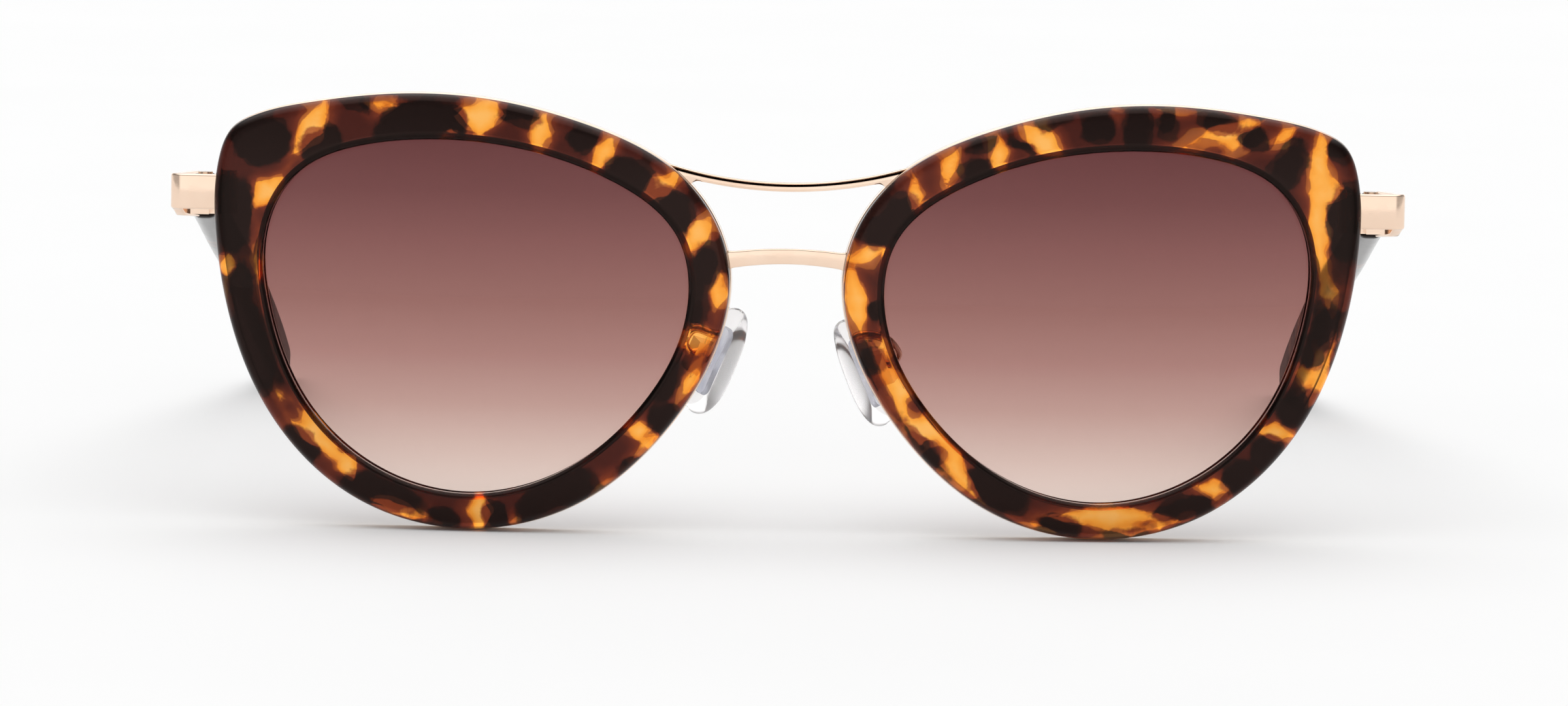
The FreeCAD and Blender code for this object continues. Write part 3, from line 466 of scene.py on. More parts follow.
class Nodes:
    """Small helper for building a node material."""

    def __init__(self, name):
        self.material = bpy.data.materials.new(name)
        self.material.use_nodes = True
        self.tree = self.material.node_tree
        self.tree.nodes.clear()
        self.out = self.tree.nodes.new("ShaderNodeOutputMaterial")
        self.bsdf = self.tree.nodes.new("ShaderNodeBsdfPrincipled")
        self.link(self.bsdf.outputs[0], self.out.inputs["Surface"])
        self.where = self.tree.nodes.new("ShaderNodeTexCoord").outputs["Object"]

    def link(self, a, b):
        self.tree.links.new(a, b)

    def set(self, **values):
        for key, value in values.items():
            self.bsdf.inputs[key.replace("_", " ")].default_value = value

    def noise(self, size_mm, detail=2.0, roughness=0.5, stretch=None):
        """Noise whose features are about this many mm across."""
        node = self.tree.nodes.new("ShaderNodeTexNoise")
        node.inputs["Scale"].default_value = 1000.0 / size_mm
        node.inputs["Detail"].default_value = detail
        node.inputs["Roughness"].default_value = roughness
        where = self.where
        if stretch:
            mapping = self.tree.nodes.new("ShaderNodeMapping")
            mapping.inputs["Scale"].default_value = stretch
            self.link(where, mapping.inputs["Vector"])
            where = mapping.outputs["Vector"]
        self.link(where, node.inputs["Vector"])
        return node.outputs["Fac"]

    def ramp(self, value, stops):
        node = self.tree.nodes.new("ShaderNodeValToRGB")
        band = node.color_ramp
        while len(band.elements) < len(stops):
            band.elements.new(0.5)
        for element, (at, colour) in zip(band.elements, stops):
            element.position = at
            element.color = colour
        self.link(value, node.inputs["Fac"])
        return node.outputs["Color"]

    def range(self, value, low, high, to_low=0.0, to_high=1.0, kind="SMOOTHSTEP"):
        node = self.tree.nodes.new("ShaderNodeMapRange")
        node.interpolation_type = kind
        for key, number in (("From Min", low), ("From Max", high),
                            ("To Min", to_low), ("To Max", to_high)):
            node.inputs[key].default_value = number
        self.link(value, node.inputs["Value"])
        return node.outputs["Result"]

    def mix(self, share, first, second):
        node = self.tree.nodes.new("ShaderNodeMix")
        node.data_type = "RGBA"
        for socket, value in ((node.inputs[0], share), (node.inputs[6], first),
                              (node.inputs[7], second)):
            if isinstance(value, tuple):
                socket.default_value = value
            else:
                self.link(value, socket)
        return node.outputs[2]

    def math(self, kind, first, second):
        node = self.tree.nodes.new("ShaderNodeMath")
        node.operation = kind
        for socket, value in ((node.inputs[0], first), (node.inputs[1], second)):
            if isinstance(value, (int, float)):
                socket.default_value = value
            else:
                self.link(value, socket)
        return node.outputs[0]

    def attribute(self, name):
        node = self.tree.nodes.new("ShaderNodeAttribute")
        node.attribute_name = name
        return node.outputs["Fac"]

    def bump(self, height, distance_mm):
        node = self.tree.nodes.new("ShaderNodeBump")
        node.inputs["Distance"].default_value = distance_mm / 1000
        self.link(height, node.inputs["Height"])
        self.link(node.outputs["Normal"], self.bsdf.inputs["Normal"])

    def colour(self, socket):
        self.link(socket, self.bsdf.inputs["Base Color"])

    def rough(self, value, low, high):
        self.link(self.range(value, *ROUGH_NOISE, low, high), self.bsdf.inputs["Roughness"])


def acetate(name, mirror, low, high, satin=0.0):
    """Amber with brown round it and black patches in the brown.

    mirror tints the reflections: dark, so that the black stays deep in bright surroundings.
    low and high are the range of roughness, and satin is added to it where the attribute says.
    """
    n = Nodes(name)
    brown_field, black_field = n.attribute("veil_a"), n.attribute("veil_b")
    cloud = n.math("ADD", brown_field, n.range(n.noise(3.0, 2.0), 0.3, 0.7, -0.35, 0.35))
    depth = n.range(cloud, -1.3, 0.1, kind="LINEAR")
    amber = n.ramp(depth, [(0.0, srgb(255, 186, 96)), (0.55, srgb(254, 168, 62)),
                           (0.92, srgb(243, 145, 44)), (1.0, srgb(200, 100, 30))])
    away = n.range(cloud, 0.0, 1.6, kind="LINEAR")
    brown = n.ramp(away, [(0.0, srgb(128, 56, 30)), (0.35, srgb(96, 38, 25)),
                          (1.0, srgb(66, 25, 19))])
    a = n.range(brown_field, -0.09, 0.09)
    edge = n.math("ADD", black_field, n.range(n.noise(1.8, 3.0), 0.3, 0.7, -0.22, 0.22))
    b = n.range(edge, -0.2, 0.16)
    both = n.math("MULTIPLY", a, b)
    either = n.math("MAXIMUM", a, b)
    n.colour(n.mix(both, n.mix(either, amber, brown), srgb(18, 9, 8)))
    n.set(Transmission_Weight=1.0, IOR=1.49,
          Specular_Tint=(mirror, mirror * 0.68, mirror * 0.6, 1.0))
    polish = n.range(n.noise(2.5, 4.0, 0.6), *ROUGH_NOISE, low, high)
    if satin:
        polish = n.math("ADD", polish, n.math("MULTIPLY", n.attribute("satin"), satin))
    n.link(polish, n.bsdf.inputs["Roughness"])
    n.bump(n.noise(3.0, 1.0), 0.003)
    return n.material


def lens_glass():
    """Tinted glass, dark at the top and pale at the bottom."""
    n = Nodes("gradient_lens")
    split = n.tree.nodes.new("ShaderNodeSeparateXYZ")
    n.link(n.where, split.inputs[0])
    heights = [z for _, z in APERTURE_OUTLINE]
    low, high = (to_row((RIM_CENTRE_X, LENS_Y, z))[2] for z in (min(heights), max(heights)))
    height = n.range(split.outputs["Z"], low, high, kind="LINEAR")
    tint = n.ramp(height, [
        (0.00, srgb(236, 217, 207)), (0.12, srgb(219, 192, 182)), (0.26, srgb(194, 157, 148)),
        (0.40, srgb(172, 128, 121)), (0.55, srgb(152, 106, 100)), (0.72, srgb(134, 87, 84)),
        (0.86, srgb(115, 69, 68)), (1.00, srgb(104, 59, 59)),
    ])
    n.colour(tint)
    n.set(Transmission_Weight=1.0, IOR=1.45, Specular_Tint=(0.35, 0.35, 0.35, 1.0))
    n.rough(n.noise(6.0, 2.0), 0.0, 0.012)
    n.bump(n.noise(9.0, 1.0), 0.0008)
    return n.material


def rose_gold():
    """Polished plating with faint scratches."""
    n = Nodes("rose_gold")
    n.colour(n.ramp(n.noise(7.0, 3.0), [(0.3, srgb(238, 208, 184)), (0.7, srgb(247, 220, 198))]))
    n.set(Metallic=1.0)
    n.rough(n.noise(1.2, 4.0, 0.6), 0.06, 0.16)
    n.bump(n.noise(0.5, 3.0, 0.6, stretch=(1.0, 1.0, 6.0)), 0.0012)
    return n.material


def groove_painted_shade():
    """Painted shade: metal coloured dark in the groove under the brow bar's bead, where shade falls.
    """
    n = Nodes("groove_painted_shade_metal")
    n.colour(n.ramp(n.noise(2.0, 3.0), [(0.3, srgb(38, 27, 22)), (0.7, srgb(72, 54, 46))]))
    n.set(Metallic=1.0)
    n.rough(n.noise(0.8, 3.0), 0.2, 0.35)
    return n.material


def steel(name, low_colour, high_colour):
    """Dull metal of the screws and the temple cores."""
    n = Nodes(name)
    even = (1.0, 1.0, 1.0)
    n.colour(n.ramp(n.noise(1.5, 3.0, stretch=even), [(0.3, low_colour), (0.7, high_colour)]))
    n.set(Metallic=1.0)
    n.rough(n.noise(0.6, 3.0, stretch=even), 0.18, 0.34)
    n.bump(n.noise(0.35, 2.0, stretch=even), 0.002)
    return n.material


def silicone():
    """Clear, slightly milky silicone of the nose pads."""
    n = Nodes("clear_silicone")
    n.colour(n.ramp(n.noise(4.0, 2.0), [(0.3, srgb(251, 249, 250)), (0.7, srgb(255, 253, 252))]))
    n.set(Transmission_Weight=0.93, IOR=1.13)
    n.rough(n.noise(1.8, 3.0), 0.04, 0.12)
    n.bump(n.noise(2.4, 2.0), 0.004)
    return n.material


def insert_plastic():
    """Stiff bluish plastic inside the nose pads."""
    n = Nodes("insert_plastic")
    n.colour(n.ramp(n.noise(2.0, 3.0, stretch=(1.0, 1.0, 0.3)),
                    [(0.3, srgb(206, 211, 228)), (0.7, srgb(247, 248, 251))]))
    n.set(Transmission_Weight=0.85, IOR=1.2)
    n.rough(n.noise(1.0, 3.0), 0.08, 0.2)
    n.bump(n.noise(0.7, 2.0), 0.006)
    return n.material


def floor_paint():
    """Matt, pale and almost even."""
    n = Nodes("pale_floor")
    n.colour(n.ramp(n.noise(60.0, 3.0), [(0.3, (0.945, 0.945, 0.945, 1)),
                                         (0.7, (0.955, 0.955, 0.955, 1))]))
    n.set(Roughness=0.9, Specular_IOR_Level=0.1)
    return n.material


ACETATE = acetate("tortoise_acetate", 0.4, 0.02, 0.06)
DARK_ACETATE = acetate("temple_acetate", 0.4, 0.08, 0.14, satin=0.35)
LENS = lens_glass()
GOLD = rose_gold()
# dark metal that paints the shade in the brow bar's groove
GROOVE_PAINTED_SHADE = groove_painted_shade()
WIRE = steel("core_wire", srgb(150, 140, 118), srgb(190, 180, 158))
SCREW = steel("screw_metal", srgb(196, 172, 150), srgb(228, 205, 182))
SILICONE = silicone()
INSERT = insert_plastic()

# ---- rims, lenses, eyewires -------------------------------------------------------------------

ROUND = 420                 # stations round a rim
LIP_LOW = 0.12              # the lip behind the lens stands in by this, below and outside
LIP_WAY_DEG = -50.0         # the direction from the rim's middle in which it stands in most
LIP_BEVEL = 0.04            # where the groove's rear wall meets the lip
LIP_ROUND = 0.22            # its rear edge is cut back by this, and halfway by LIP_ROUND_HALF
LIP_ROUND_HALF = 0.07
EDGE_LOOP = 0.1             # a loop this close to a corner keeps the corner crisp
BEVEL_HALF = 0.1            # half the width of the flat on the lens's bevelled edge
# sizes of the rings of points on a lens face
LENS_RINGS = (1.0, 0.985, 0.95, 0.88, 0.78, 0.66, 0.54, 0.42, 0.3, 0.18, 0.07)
BAND_BEND = 0.14            # rounding of the eyewire's edges
SPLIT_HALF = 0.09           # the eyewire's ends are this far from the middle of its cut
OUTER_SIDE_X = 60           # and that cut is further out than this


def arc_steps(radius, count):
    """(inset, depth) pairs of a quarter round from the side wall to the front face."""
    out = []
    for k in range(count):
        a = math.pi / 2 * k / (count - 1)
        out.append((radius * (1 - math.cos(a)), radius * (1 - math.sin(a))))
    return out


def between(start, stop, count):
    """count curves evenly spaced between two others."""
    return [start + (stop - start) * k / (count + 1) for k in range(1, count + 1)]


def make_rim(side):
    """Ring with rounded front edges, a groove for the lens and a step for the eyewire."""
    outer, inner, angle = stations(RIM_OUTLINE, APERTURE_OUTLINE, ROUND)
    out_n, in_n = outward(outer), outward(inner)
    edge = outer - out_n * BAND_PROUD
    lip = LIP_LOW * np.clip(0.5 + 0.9 * np.cos(angle - math.radians(LIP_WAY_DEG)), 0.0, 1.0)
    groove = inner + in_n * (LENS_BITE + FIT_GAP)
    groove_front, groove_back = LENS_FRONT - FIT_GAP, LENS_BACK + FIT_GAP

    def opening(wider):
        """The opening behind the lens, made this much wider."""
        return inner - in_n * (lip - wider)[:, None]

    # each loop is a closed curve and its depth behind the front
    loops = [(edge - out_n * inset, depth) for inset, depth in arc_steps(OUTER_ROUND, 8)]
    start, stop = edge - out_n * OUTER_ROUND, inner + in_n * INNER_ROUND
    loops += [(flat, 0.0) for flat in between(start, stop, 9)]
    loops += [(inner + in_n * inset, depth)
              for inset, depth in reversed(arc_steps(INNER_ROUND, 7))]
    loops += [(inner, LENS_FRONT - EDGE_LOOP), (inner, groove_front), (groove, groove_front),
              (groove, groove_back), (opening(LIP_BEVEL), groove_back),
              (opening(0.0), LENS_BACK + EDGE_LOOP), (opening(0.0), RIM_THICKNESS - LIP_ROUND),
              (opening(LIP_ROUND_HALF), RIM_THICKNESS - LIP_ROUND_HALF),
              (opening(LIP_ROUND), RIM_THICKNESS)]
    start, stop = opening(LIP_ROUND), outer - out_n * (BAND_THICKNESS + FIT_GAP)
    loops += [(flat, RIM_THICKNESS) for flat in between(start, stop, 8)]
    loops += [(stop, RIM_THICKNESS), (stop, BAND_FRONT - FIT_GAP), (edge, BAND_FRONT - FIT_GAP)]
    points = np.concatenate([on_bowl(flat, depth) for flat, depth in loops])
    return make_piece(
        "rim_" + side, points, ring_faces(len(loops), ROUND), "front",
        ACETATE, ("acetate_rim_" + side,), mirror=side == "right", veils=rim_veils(points, side),
    )


def make_lens(side):
    """Two curved faces, and an edge that comes to a bevel inside the rim's groove."""
    count = 240
    _, inner, _ = stations(RIM_OUTLINE, APERTURE_OUTLINE, count)
    normal = outward(inner)
    centre = inner.mean(0)
    face_edge, bevel = inner + normal * LENS_BITE / 2, inner + normal * LENS_BITE
    middle = (LENS_FRONT + LENS_BACK) / 2
    rings = [(face_edge - centre) * share + centre for share in LENS_RINGS]
    loops = [on_bowl(flat, LENS_FRONT) for flat in reversed(rings)]
    loops += [on_bowl(bevel, middle - BEVEL_HALF), on_bowl(bevel, middle + BEVEL_HALF)]
    loops += [on_bowl(flat, LENS_BACK) for flat in rings]
    points = np.concatenate(
        loops + [np.stack([on_bowl(centre, LENS_FRONT), on_bowl(centre, LENS_BACK)])])
    faces = ring_faces(len(loops), count, closed_across=False) + fans(len(loops), count)
    faces = [face[::-1] for face in faces]
    return make_piece("lens_" + side + "_tinted", points, faces, "front",
                      LENS, ("lens_" + side,), mirror=side == "right", crease=30)


def make_eyewire(side):
    """Flat band round the rim, cut between the two lock blocks."""
    dense = closed_spline(RIM_OUTLINE, 80)
    near = np.where(dense[:, 0] > OUTER_SIDE_X, np.abs(dense[:, 1] - SPLIT_Z), np.inf)
    turned = np.roll(dense, -int(np.argmin(near)), 0)
    path = evenly(np.concatenate([turned, turned[:1]]), ROUND)
    normal = outward(path, closed=False)
    for end, beside in ((0, 1), (-1, -2)):
        way = path[beside] - path[end]
        path[end] += way / np.linalg.norm(way) * SPLIT_HALF
    outside, inside = BAND_BEND, BAND_THICKNESS - BAND_BEND
    front, back = BAND_FRONT + BAND_BEND, BAND_BACK - BAND_BEND
    loops = [
        on_bowl(path - normal * (inset + BAND_BEND * c), depth + BAND_BEND * s)
        for inset, depth, start in ((outside, front, 180), (inside, front, 270),
                                    (inside, back, 0), (outside, back, 90))
        for c, s in quarter(start, 5)
    ]
    faces = ring_faces(len(loops), ROUND, closed_along=False) + end_faces(len(loops), ROUND)
    return make_piece("eyewire_" + side + "_band", np.concatenate(loops), faces, "front",
                      GOLD, ("eyewire_" + side,), mirror=side == "right", crease=40)


for side in ("left", "right"):
    make_rim(side)
    make_lens(side)
    make_eyewire(side)

# ---- bridges ----------------------------------------------------------------------------------

BROW_HALF = 14.15           # half the length of the brow bar's top edge
WEB_START = 9.9             # from here out the lower edge turns into the web's round
WEB_ROUND = (10.5, 14.6, 1.13)      # its middle and radius
WEB_TURN_DEG = (110.0, 38.0)        # where it starts and ends
# (distance below the top edge, distance back) across the bead and the groove under it
BEAD = ((0.02, 5.75), (0.0, 5.62), (0.03, 5.52), (0.09, 5.46), (0.15, 5.47), (0.21, 5.54),
        (0.25, 5.66), (0.27, 5.98), (0.36, 6.05), (0.45, 6.0), (0.48, 5.84))
GROOVE_SPAN = (0.24, 0.46)  # the part of that which is the groove, coloured dark as painted shade
FLANGE_BELOW = 0.51
# (share of the way down the flange, distance back)
FLANGE = ((0.0, 5.78), (0.25, 5.76), (0.5, 5.75), (0.75, 5.76), (0.93, 5.78), (1.0, 5.86))
BROW_REAR = 6.65            # rear face, and its softened edges
BROW_REAR_EDGE = 6.55

LOWER_HALF = 6.85           # half the length of the lower bridge
LOWER_FLARE_FROM = 6.1      # from here out it spreads towards its brazed ends
# its edges' height at the middle, fall from there to the ends, and rise where it spreads
LOWER_TOP = (7.99, 0.45, 0.14)
LOWER_LOW = (6.2, 0.62, -0.3)
# (share of the way down the strip, distance back) round its section
STRIP = ((0.0, 5.76), (0.015, 5.66), (0.05, 5.61), (0.11, 5.6), (0.35, 5.585), (0.65, 5.585),
         (0.89, 5.6), (0.95, 5.61), (0.985, 5.66), (1.0, 5.76), (1.0, 6.74), (0.985, 6.84),
         (0.93, 6.9), (0.5, 6.9), (0.07, 6.9), (0.015, 6.84), (0.0, 6.74))


def sag(x, middle, radius):
    """Height at x of a hanging arc whose lowest point is at x = 0."""
    return middle + radius - np.sqrt(radius ** 2 - x ** 2)


def brow_low_edge(shares):
    """Points of the brow bar's lower edge at these shares, -1 to 1, of its length."""
    span = np.linspace(0.0, WEB_START, 40)
    turn = np.radians(np.linspace(*WEB_TURN_DEG, 16))
    x, z, radius = WEB_ROUND
    half = np.concatenate([
        np.stack([span, sag(span, BROW_LOW, BROW_LOW_RADIUS)], 1),
        np.stack([x + radius * np.cos(turn), z + radius * np.sin(turn)], 1),
    ])
    count = 600
    dense = evenly(np.concatenate([half[:0:-1] * np.array([-1, 1]), half]), count)
    at = (shares + 1) / 2 * (count - 1)
    return np.stack([np.interp(at, np.arange(count), dense[:, k]) for k in range(2)], 1)


def make_brow_bar():
    """Stamped bar: a bead along the top, a narrow groove coloured dark as painted shade, and a flat
    flange with webs.
    """
    count = 121
    s = np.linspace(-1, 1, count)
    top = np.stack([s * BROW_HALF, sag(s * BROW_HALF, BROW_TOP, BROW_TOP_RADIUS)], 1)
    # the small round where the web meets the rim needs more of the points
    low = brow_low_edge(np.sign(s) * np.abs(s) ** 0.8)
    down = outward(top, closed=False)
    flange = top + down * FLANGE_BELOW
    rows = [(top + down * inset, y) for inset, y in BEAD]
    rows += [(flange + (low - flange) * share, y) for share, y in FLANGE]
    rows += [(low, BROW_REAR_EDGE), (low + (flange - low) * 0.07, BROW_REAR),
             (low + (flange - low) * 0.5, BROW_REAR), (flange, BROW_REAR),
             (top + down * 0.08, BROW_REAR), (top + down * 0.02, BROW_REAR_EDGE)]
    points = np.concatenate([upright(flat, y) for flat, y in rows])
    faces = ring_faces(len(rows), count, closed_along=False) + end_faces(len(rows), count)
    # the groove's rows get the dark metal, which is painted shade
    dark = [GROOVE_SPAN[0] < inset < GROOVE_SPAN[1] for inset, _ in BEAD]
    dark += [False] * (len(rows) - len(BEAD))
    marks = [int(one) for one in dark for _ in range(count - 1)] + [0, 0]
    return make_piece("brow_bar_stamped", points, faces, "front", [GOLD, GROOVE_PAINTED_SHADE],
                      ("brow_bar",), crease=50, marks=marks)


def make_lower_bridge():
    """Flat arched strip with softened edges, spreading a little where it is brazed."""
    count = 81
    x = np.linspace(-LOWER_HALF, LOWER_HALF, count)
    share_out = (x / LOWER_HALF) ** 2
    flare = np.clip((np.abs(x) - LOWER_FLARE_FROM) / (LOWER_HALF - LOWER_FLARE_FROM), 0, 1) ** 2
    top, low = (middle - fall * share_out + spread * flare
                for middle, fall, spread in (LOWER_TOP, LOWER_LOW))
    points = np.concatenate([
        upright(np.stack([x, top + (low - top) * share], 1), y) for share, y in STRIP])
    faces = ring_faces(len(STRIP), count, closed_along=False) + end_faces(len(STRIP), count)
    return make_piece("lower_bridge_strip", points, faces, "front", GOLD,
                      ("lower_bridge",), crease=50)


make_brow_bar()
make_lower_bridge()

# ---- end pieces -------------------------------------------------------------------------------

PLATE_MIDDLE = 8.8          # middle of the front plate's sheet, distance back
PLATE_XS = (66.74, 67.2, 68.2, 69.4, 70.6)      # its rows, from the rim outwards
CORNER_RADIUS = 1.0         # of the middle of the sheet, where it turns back
ARM_SHIFT = (-1.7, 7.1)     # the arm's rear end from that corner: sideways, back
PLATE_HALF = 0.6            # half the sheet's thickness
PLATE_BEND = 0.26           # rounding of its edges
ARM_DROP = 1.0              # the arm's lower edge comes down by this over ARM_DROP_OVER
ARM_DROP_OVER = 2.0
ARM_FALL = (0.4, 0.1)       # how far its lower and upper edges then fall to the hinge


def make_end_piece(side):
    """Plate beside the rim, bent back at its outer corner and running to the hinge."""
    path = [(x, PLATE_MIDDLE) for x in PLATE_XS]
    turn_x, turn_y = PLATE_XS[-1], PLATE_MIDDLE + CORNER_RADIUS
    for k in range(1, 9):
        a = math.radians(-90 + 90 * k / 8)
        path.append((turn_x + CORNER_RADIUS * math.cos(a), turn_y + CORNER_RADIUS * math.sin(a)))
    for k in range(1, 9):
        path.append((turn_x + CORNER_RADIUS + ARM_SHIFT[0] * k / 8, turn_y + ARM_SHIFT[1] * k / 8))
    path = np.array(path)
    normal = outward(path, closed=False)
    back = path[:, 1] - turn_y
    drop = np.clip(back / ARM_DROP_OVER, 0, 1)
    drop = ARM_DROP * drop * drop * (3 - 2 * drop)
    after = np.clip((back - ARM_DROP_OVER) / (ARM_SHIFT[1] - ARM_DROP_OVER), 0, 1)
    low = PLATE_LOW - drop - ARM_FALL[0] * after
    top = PLATE_TOP - ARM_FALL[1] * np.clip(back / ARM_SHIFT[1], 0, 1)
    loops = []
    for sx, sz, start in CORNERS:
        for c, s in quarter(start, 6):
            flat = path + normal * (sx * (PLATE_HALF - PLATE_BEND) + PLATE_BEND * c)
            edge = top - PLATE_BEND if sz > 0 else low + PLATE_BEND
            loops.append(np.column_stack([flat, edge + PLATE_BEND * s]))
    faces = ring_faces(len(loops), len(path), closed_along=False)
    faces += end_faces(len(loops), len(path))
    return make_piece("end_piece_" + side + "_plate", np.concatenate(loops), faces, "front",
                      GOLD, ("end_piece_" + side,), mirror=side == "right", crease=40)


for side in ("left", "right"):
    make_end_piece(side)

# ---- temples ----------------------------------------------------------------------------------

TEMPLE_ROUND = 1.25         # the most that a temple's long edges are rounded
TEMPLE_ROUND_SHARE = 0.42   # and the most as a share of the section
FRONT_BEVEL = ((0.0, 0.4), (0.06, 0.12), (0.2, 0.0))    # (distance back, smaller by this)
DOME_TURN_DEG = (6.0, 88.5)     # the rows of the domed tip lie between these angles of its round
DOME_FLAT = 0.3             # the dome keeps this share of the thickness
DOME_LAST_THICK = 0.35      # thickness of its last row
DOME_POINT = 0.02           # its middle point is this far past that row


def make_temple(side):
    """Bar of changing section with rounded edges, a square front end and a domed tip."""
    rows = open_spline(TEMPLE_LINE, 150)
    centres = rows[:, [2, 0, 1]]
    along = np.gradient(centres, axis=0)
    along /= np.linalg.norm(along, axis=1)[:, None]
    tall, thick = rows[:, 3], rows[:, 4]
    reach = np.array([TEMPLE_END[2], TEMPLE_END[0], TEMPLE_END[1]]) - centres[-1]
    turn = np.radians(np.linspace(*DOME_TURN_DEG, 18))
    dome = centres[-1] + reach * np.sin(turn)[:, None]
    dome_tall = TEMPLE_LINE[-1][3] * np.cos(turn)
    dome_thick = TEMPLE_LINE[-1][4] * (DOME_FLAT + (1 - DOME_FLAT) * np.cos(turn))
    dome_thick[-1] = DOME_LAST_THICK
    way = reach / np.linalg.norm(reach)
    back = np.array([0.0, 1.0, 0.0])
    centres = np.vstack([centres[0] + back * far for far, _ in FRONT_BEVEL] + [centres[1:], dome])
    along = np.vstack([back] * len(FRONT_BEVEL) + [along[1:]] + [way] * len(dome))
    tall = np.concatenate([[tall[0] - less for _, less in FRONT_BEVEL], tall[1:], dome_tall])
    thick = np.concatenate([[thick[0] - less for _, less in FRONT_BEVEL], thick[1:], dome_thick])
    count = len(centres)
    up = np.cross(np.array([1.0, 0.0, 0.0]), along)
    up /= np.linalg.norm(up, axis=1)[:, None]
    out = np.cross(along, up)
    radius = np.minimum(TEMPLE_ROUND, np.minimum(tall, thick) * TEMPLE_ROUND_SHARE)
    flat_x, flat_z = thick / 2 - radius, tall / 2 - radius

    def line_at(across, lift):
        return centres + out * across[:, None] + up * lift[:, None]

    lines = []
    for n, (sx, sz, start) in enumerate(CORNERS):
        for c, s in quarter(start, 7):
            lines.append(line_at(sx * flat_x + radius * c, sz * flat_z + radius * s))
        # points along the flat sides, so that the pattern has a fine enough mesh
        next_x, next_z, _ = CORNERS[(n + 1) % 4]
        steps = 3 if sz == next_z else 7
        for k in range(1, steps):
            if sz == next_z:
                lines.append(line_at(flat_x * (sx + (next_x - sx) * k / steps), sz * tall / 2))
            else:
                lines.append(line_at(sx * thick / 2, flat_z * (sz + (next_z - sz) * k / steps)))
    points = np.vstack(lines + [centres[-1] + way * DOME_POINT])
    tip, last = len(lines) * count, count - 1
    faces = [face[::-1] for face in ring_faces(len(lines), count, closed_along=False)]
    faces.append(end_faces(len(lines), count)[0])
    for i in range(len(lines)):
        faces.append((tip, (i + 1) % len(lines) * count + last, i * count + last))
    return make_piece("temple_" + side + "_arm", points, faces, "temple_" + side,
                      DARK_ACETATE, ("temple_" + side,), mirror=side == "right",
                      crease=50, veils=temple_veils(points, side))


for side in ("left", "right"):
    make_temple(side)

# ---- nose pads --------------------------------------------------------------------------------

def pad_matrix(side):
    """How a pad is turned, and where its middle is."""
    x, z, splay = PADS[side]
    turn = Matrix.Rotation(math.radians(90.0 - splay), 3, "Z")
    lean = Matrix.Rotation(math.radians(-PAD_LEAN_DEG), 3, "Y")
    tilt = Matrix.Rotation(math.radians(PAD_TILT_DEG), 3, "X")
    return np.array(lean @ tilt @ turn), np.array([x, PAD_MIDDLE_Y, z])


# (distance in from the outline, height as a share of half the thickness) over a pad's edge
PAD_EDGE = ((0.0, 0.0), (0.04, 0.27), (0.16, 0.52), (0.36, 0.74), (0.62, 0.9), (0.95, 0.985))
PAD_RINGS = (0.82, 0.62, 0.42, 0.22)


def make_pad(side):
    """Soft pad: a rounded drop with a full round edge."""
    wide, long = PAD_WIDTH, PAD_LENGTH
    outline = closed_spline([
        (0.0, long / 2), (-wide * 0.30, long * 0.40), (-wide / 2, 0.6),
        (-wide * 0.40, -long * 0.33), (0.0, -long / 2), (wide * 0.40, -long * 0.33),
        (wide / 2, 0.6), (wide * 0.30, long * 0.40),
    ])
    count = 96
    edge = evenly(np.concatenate([outline, outline[:1]]), count + 1)[:-1]
    normal = outward(edge)
    half = PAD_THICKNESS / 2
    faces_in = [(edge - normal * PAD_EDGE[-1][0]) * share for share in PAD_RINGS]
    loops = [upright(flat, half) for flat in reversed(faces_in)]
    loops += [upright(edge - normal * inset, half * level) for inset, level in reversed(PAD_EDGE)]
    loops += [upright(edge - normal * inset, -half * level) for inset, level in PAD_EDGE[1:]]
    loops += [upright(flat, -half) for flat in faces_in]
    points = np.vstack(loops + [(0, half, 0), (0, -half, 0)])
    faces = ring_faces(len(loops), count, closed_across=False) + fans(len(loops), count)
    rotation, place = pad_matrix(side)
    return make_piece("pad_" + side + "_soft", points @ rotation.T + place, faces, "pad_" + side,
                      SILICONE, ("nose_pad_" + side,), mirror=side == "right",
                      crease=60)


for side in ("left", "right"):
    make_pad(side)

# ---- CAD pieces that stay, with their own materials -------------------------------------------

KEPT = {
    "lock_block": GOLD, "hinge_front": GOLD, "hinge_temple": GOLD, "temple_core": WIRE,
    "temple_rivets": SCREW, "pad_insert": INSERT, "pad_box": GOLD, "pad_arm": GOLD,
    "lock_screws": SCREW, "hinge_screws": SCREW, "pad_screws": SCREW,
}
for name, node in frame["nodes"].items():
    for start, material in KEPT.items():
        if name.startswith(start):
            node.data.materials.clear()
            node.data.materials.append(material)

# ---- stage, light and camera ------------------------------------------------------------------

def make_floor():
    """A wide round sheet under the object."""
    mesh = bpy.data.meshes.new("floor")
    radius, sides = 30, 96
    turns = [math.tau * k / sides for k in range(sides)]
    mesh.from_pydata([(radius * math.cos(a), radius * math.sin(a), 0) for a in turns], [],
                     [tuple(range(sides))])
    mesh.materials.append(floor_paint())
    floor = bpy.data.objects.new("floor", mesh)
    bpy.context.scene.collection.objects.link(floor)


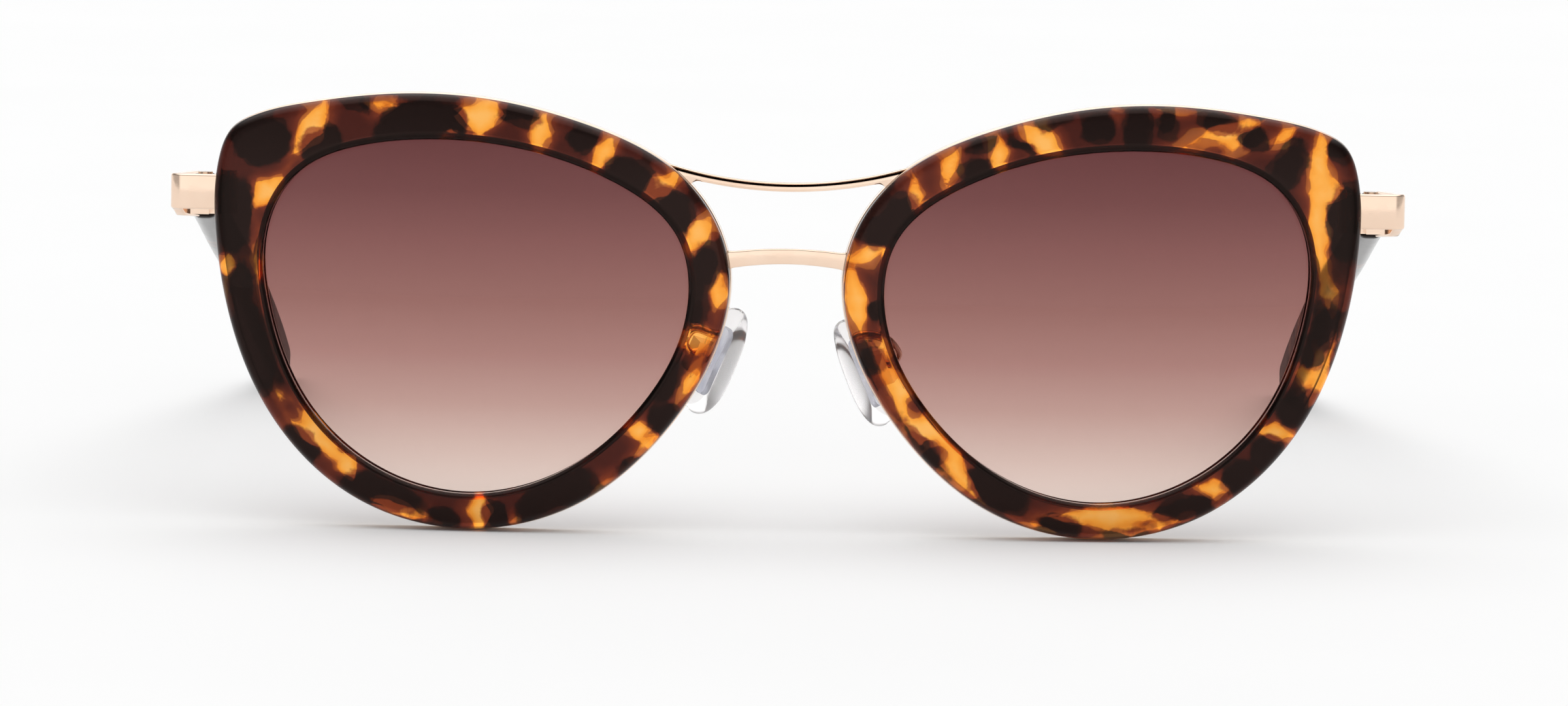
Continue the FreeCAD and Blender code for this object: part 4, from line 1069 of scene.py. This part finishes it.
def make_world():
    """Pale all round, with a dimmer ring above the horizon and dimmer sides."""
    world = bpy.data.worlds.new("studio")
    bpy.context.scene.world = world
    world.use_nodes = True
    tree = world.node_tree
    tree.nodes.clear()
    out = tree.nodes.new("ShaderNodeOutputWorld")
    glow = tree.nodes.new("ShaderNodeBackground")
    where = tree.nodes.new("ShaderNodeTexCoord")
    split = tree.nodes.new("ShaderNodeSeparateXYZ")
    tree.links.new(where.outputs["Generated"], split.inputs[0])
    ramp = tree.nodes.new("ShaderNodeValToRGB")
    span = tree.nodes.new("ShaderNodeMapRange")
    span.inputs["From Min"].default_value = -1.0
    tree.links.new(split.outputs["Z"], span.inputs["Value"])
    tree.links.new(span.outputs["Result"], ramp.inputs["Fac"])
    band = ramp.color_ramp
    # (share of the way from straight down to straight up, brightness)
    stops = [(0.0, 1.0), (0.60, 1.0), (0.68, 0.42), (0.80, 0.35), (0.88, 1.2), (1.0, 1.6)]
    while len(band.elements) < len(stops):
        band.elements.new(0.5)
    for element, (at, value) in zip(band.elements, stops):
        element.position = at
        element.color = (value, value, value, 1)
    tree.links.new(ramp.outputs["Color"], glow.inputs["Color"])
    sideways = tree.nodes.new("ShaderNodeMath")
    sideways.operation = "ABSOLUTE"
    tree.links.new(split.outputs["X"], sideways.inputs[0])
    panels = tree.nodes.new("ShaderNodeMapRange")
    panels.interpolation_type = "SMOOTHSTEP"
    for key, value in (("From Min", 0.5), ("From Max", 0.8), ("To Min", 1.2), ("To Max", 0.5)):
        panels.inputs[key].default_value = value
    tree.links.new(sideways.outputs[0], panels.inputs["Value"])
    tree.links.new(panels.outputs["Result"], glow.inputs["Strength"])
    tree.links.new(glow.outputs[0], out.inputs["Surface"])


CAMERA_ABOVE_DEG = 4.5      # the camera looks down this much on the front
CAMERA_ROLL_DEG = 1.0
CAMERA_AIM = (-0.15, 7.0, -4.27)
CAMERA_DISTANCE = 900.0
CAMERA_LENS = 176.85        # focal length for a sensor 36 mm wide


def make_camera():
    """Far in front, looking a little down."""
    aim, above = np.array(CAMERA_AIM), math.radians(CAMERA_ABOVE_DEG)
    way = np.array([0.0, -math.cos(above), math.sin(above)])
    eye = Vector(to_row(aim + CAMERA_DISTANCE * way))
    target = Vector(to_row(aim))
    up = Vector(LEAN @ np.array([0.0, 0.0, 1.0]))
    ahead = (target - eye).normalized()
    right = ahead.cross(up).normalized()
    up = right.cross(ahead)
    rotation = Matrix((right, up, -ahead)).transposed()
    roll = Matrix.Rotation(math.radians(CAMERA_ROLL_DEG), 3, "Z")
    data = bpy.data.cameras.new("camera")
    data.sensor_width = 36.0
    data.lens = CAMERA_LENS
    data.clip_start = 0.01
    data.clip_end = 200.0
    camera = bpy.data.objects.new("camera", data)
    camera.rotation_mode = "QUATERNION"
    camera.rotation_quaternion = (rotation @ roll).to_quaternion()
    camera.location = eye
    bpy.context.scene.collection.objects.link(camera)
    bpy.context.scene.camera = camera


make_floor()
make_world()
make_camera()
bpy.context.scene.view_settings.view_transform = "Standard"
bpy.context.scene.view_settings.look = "None"
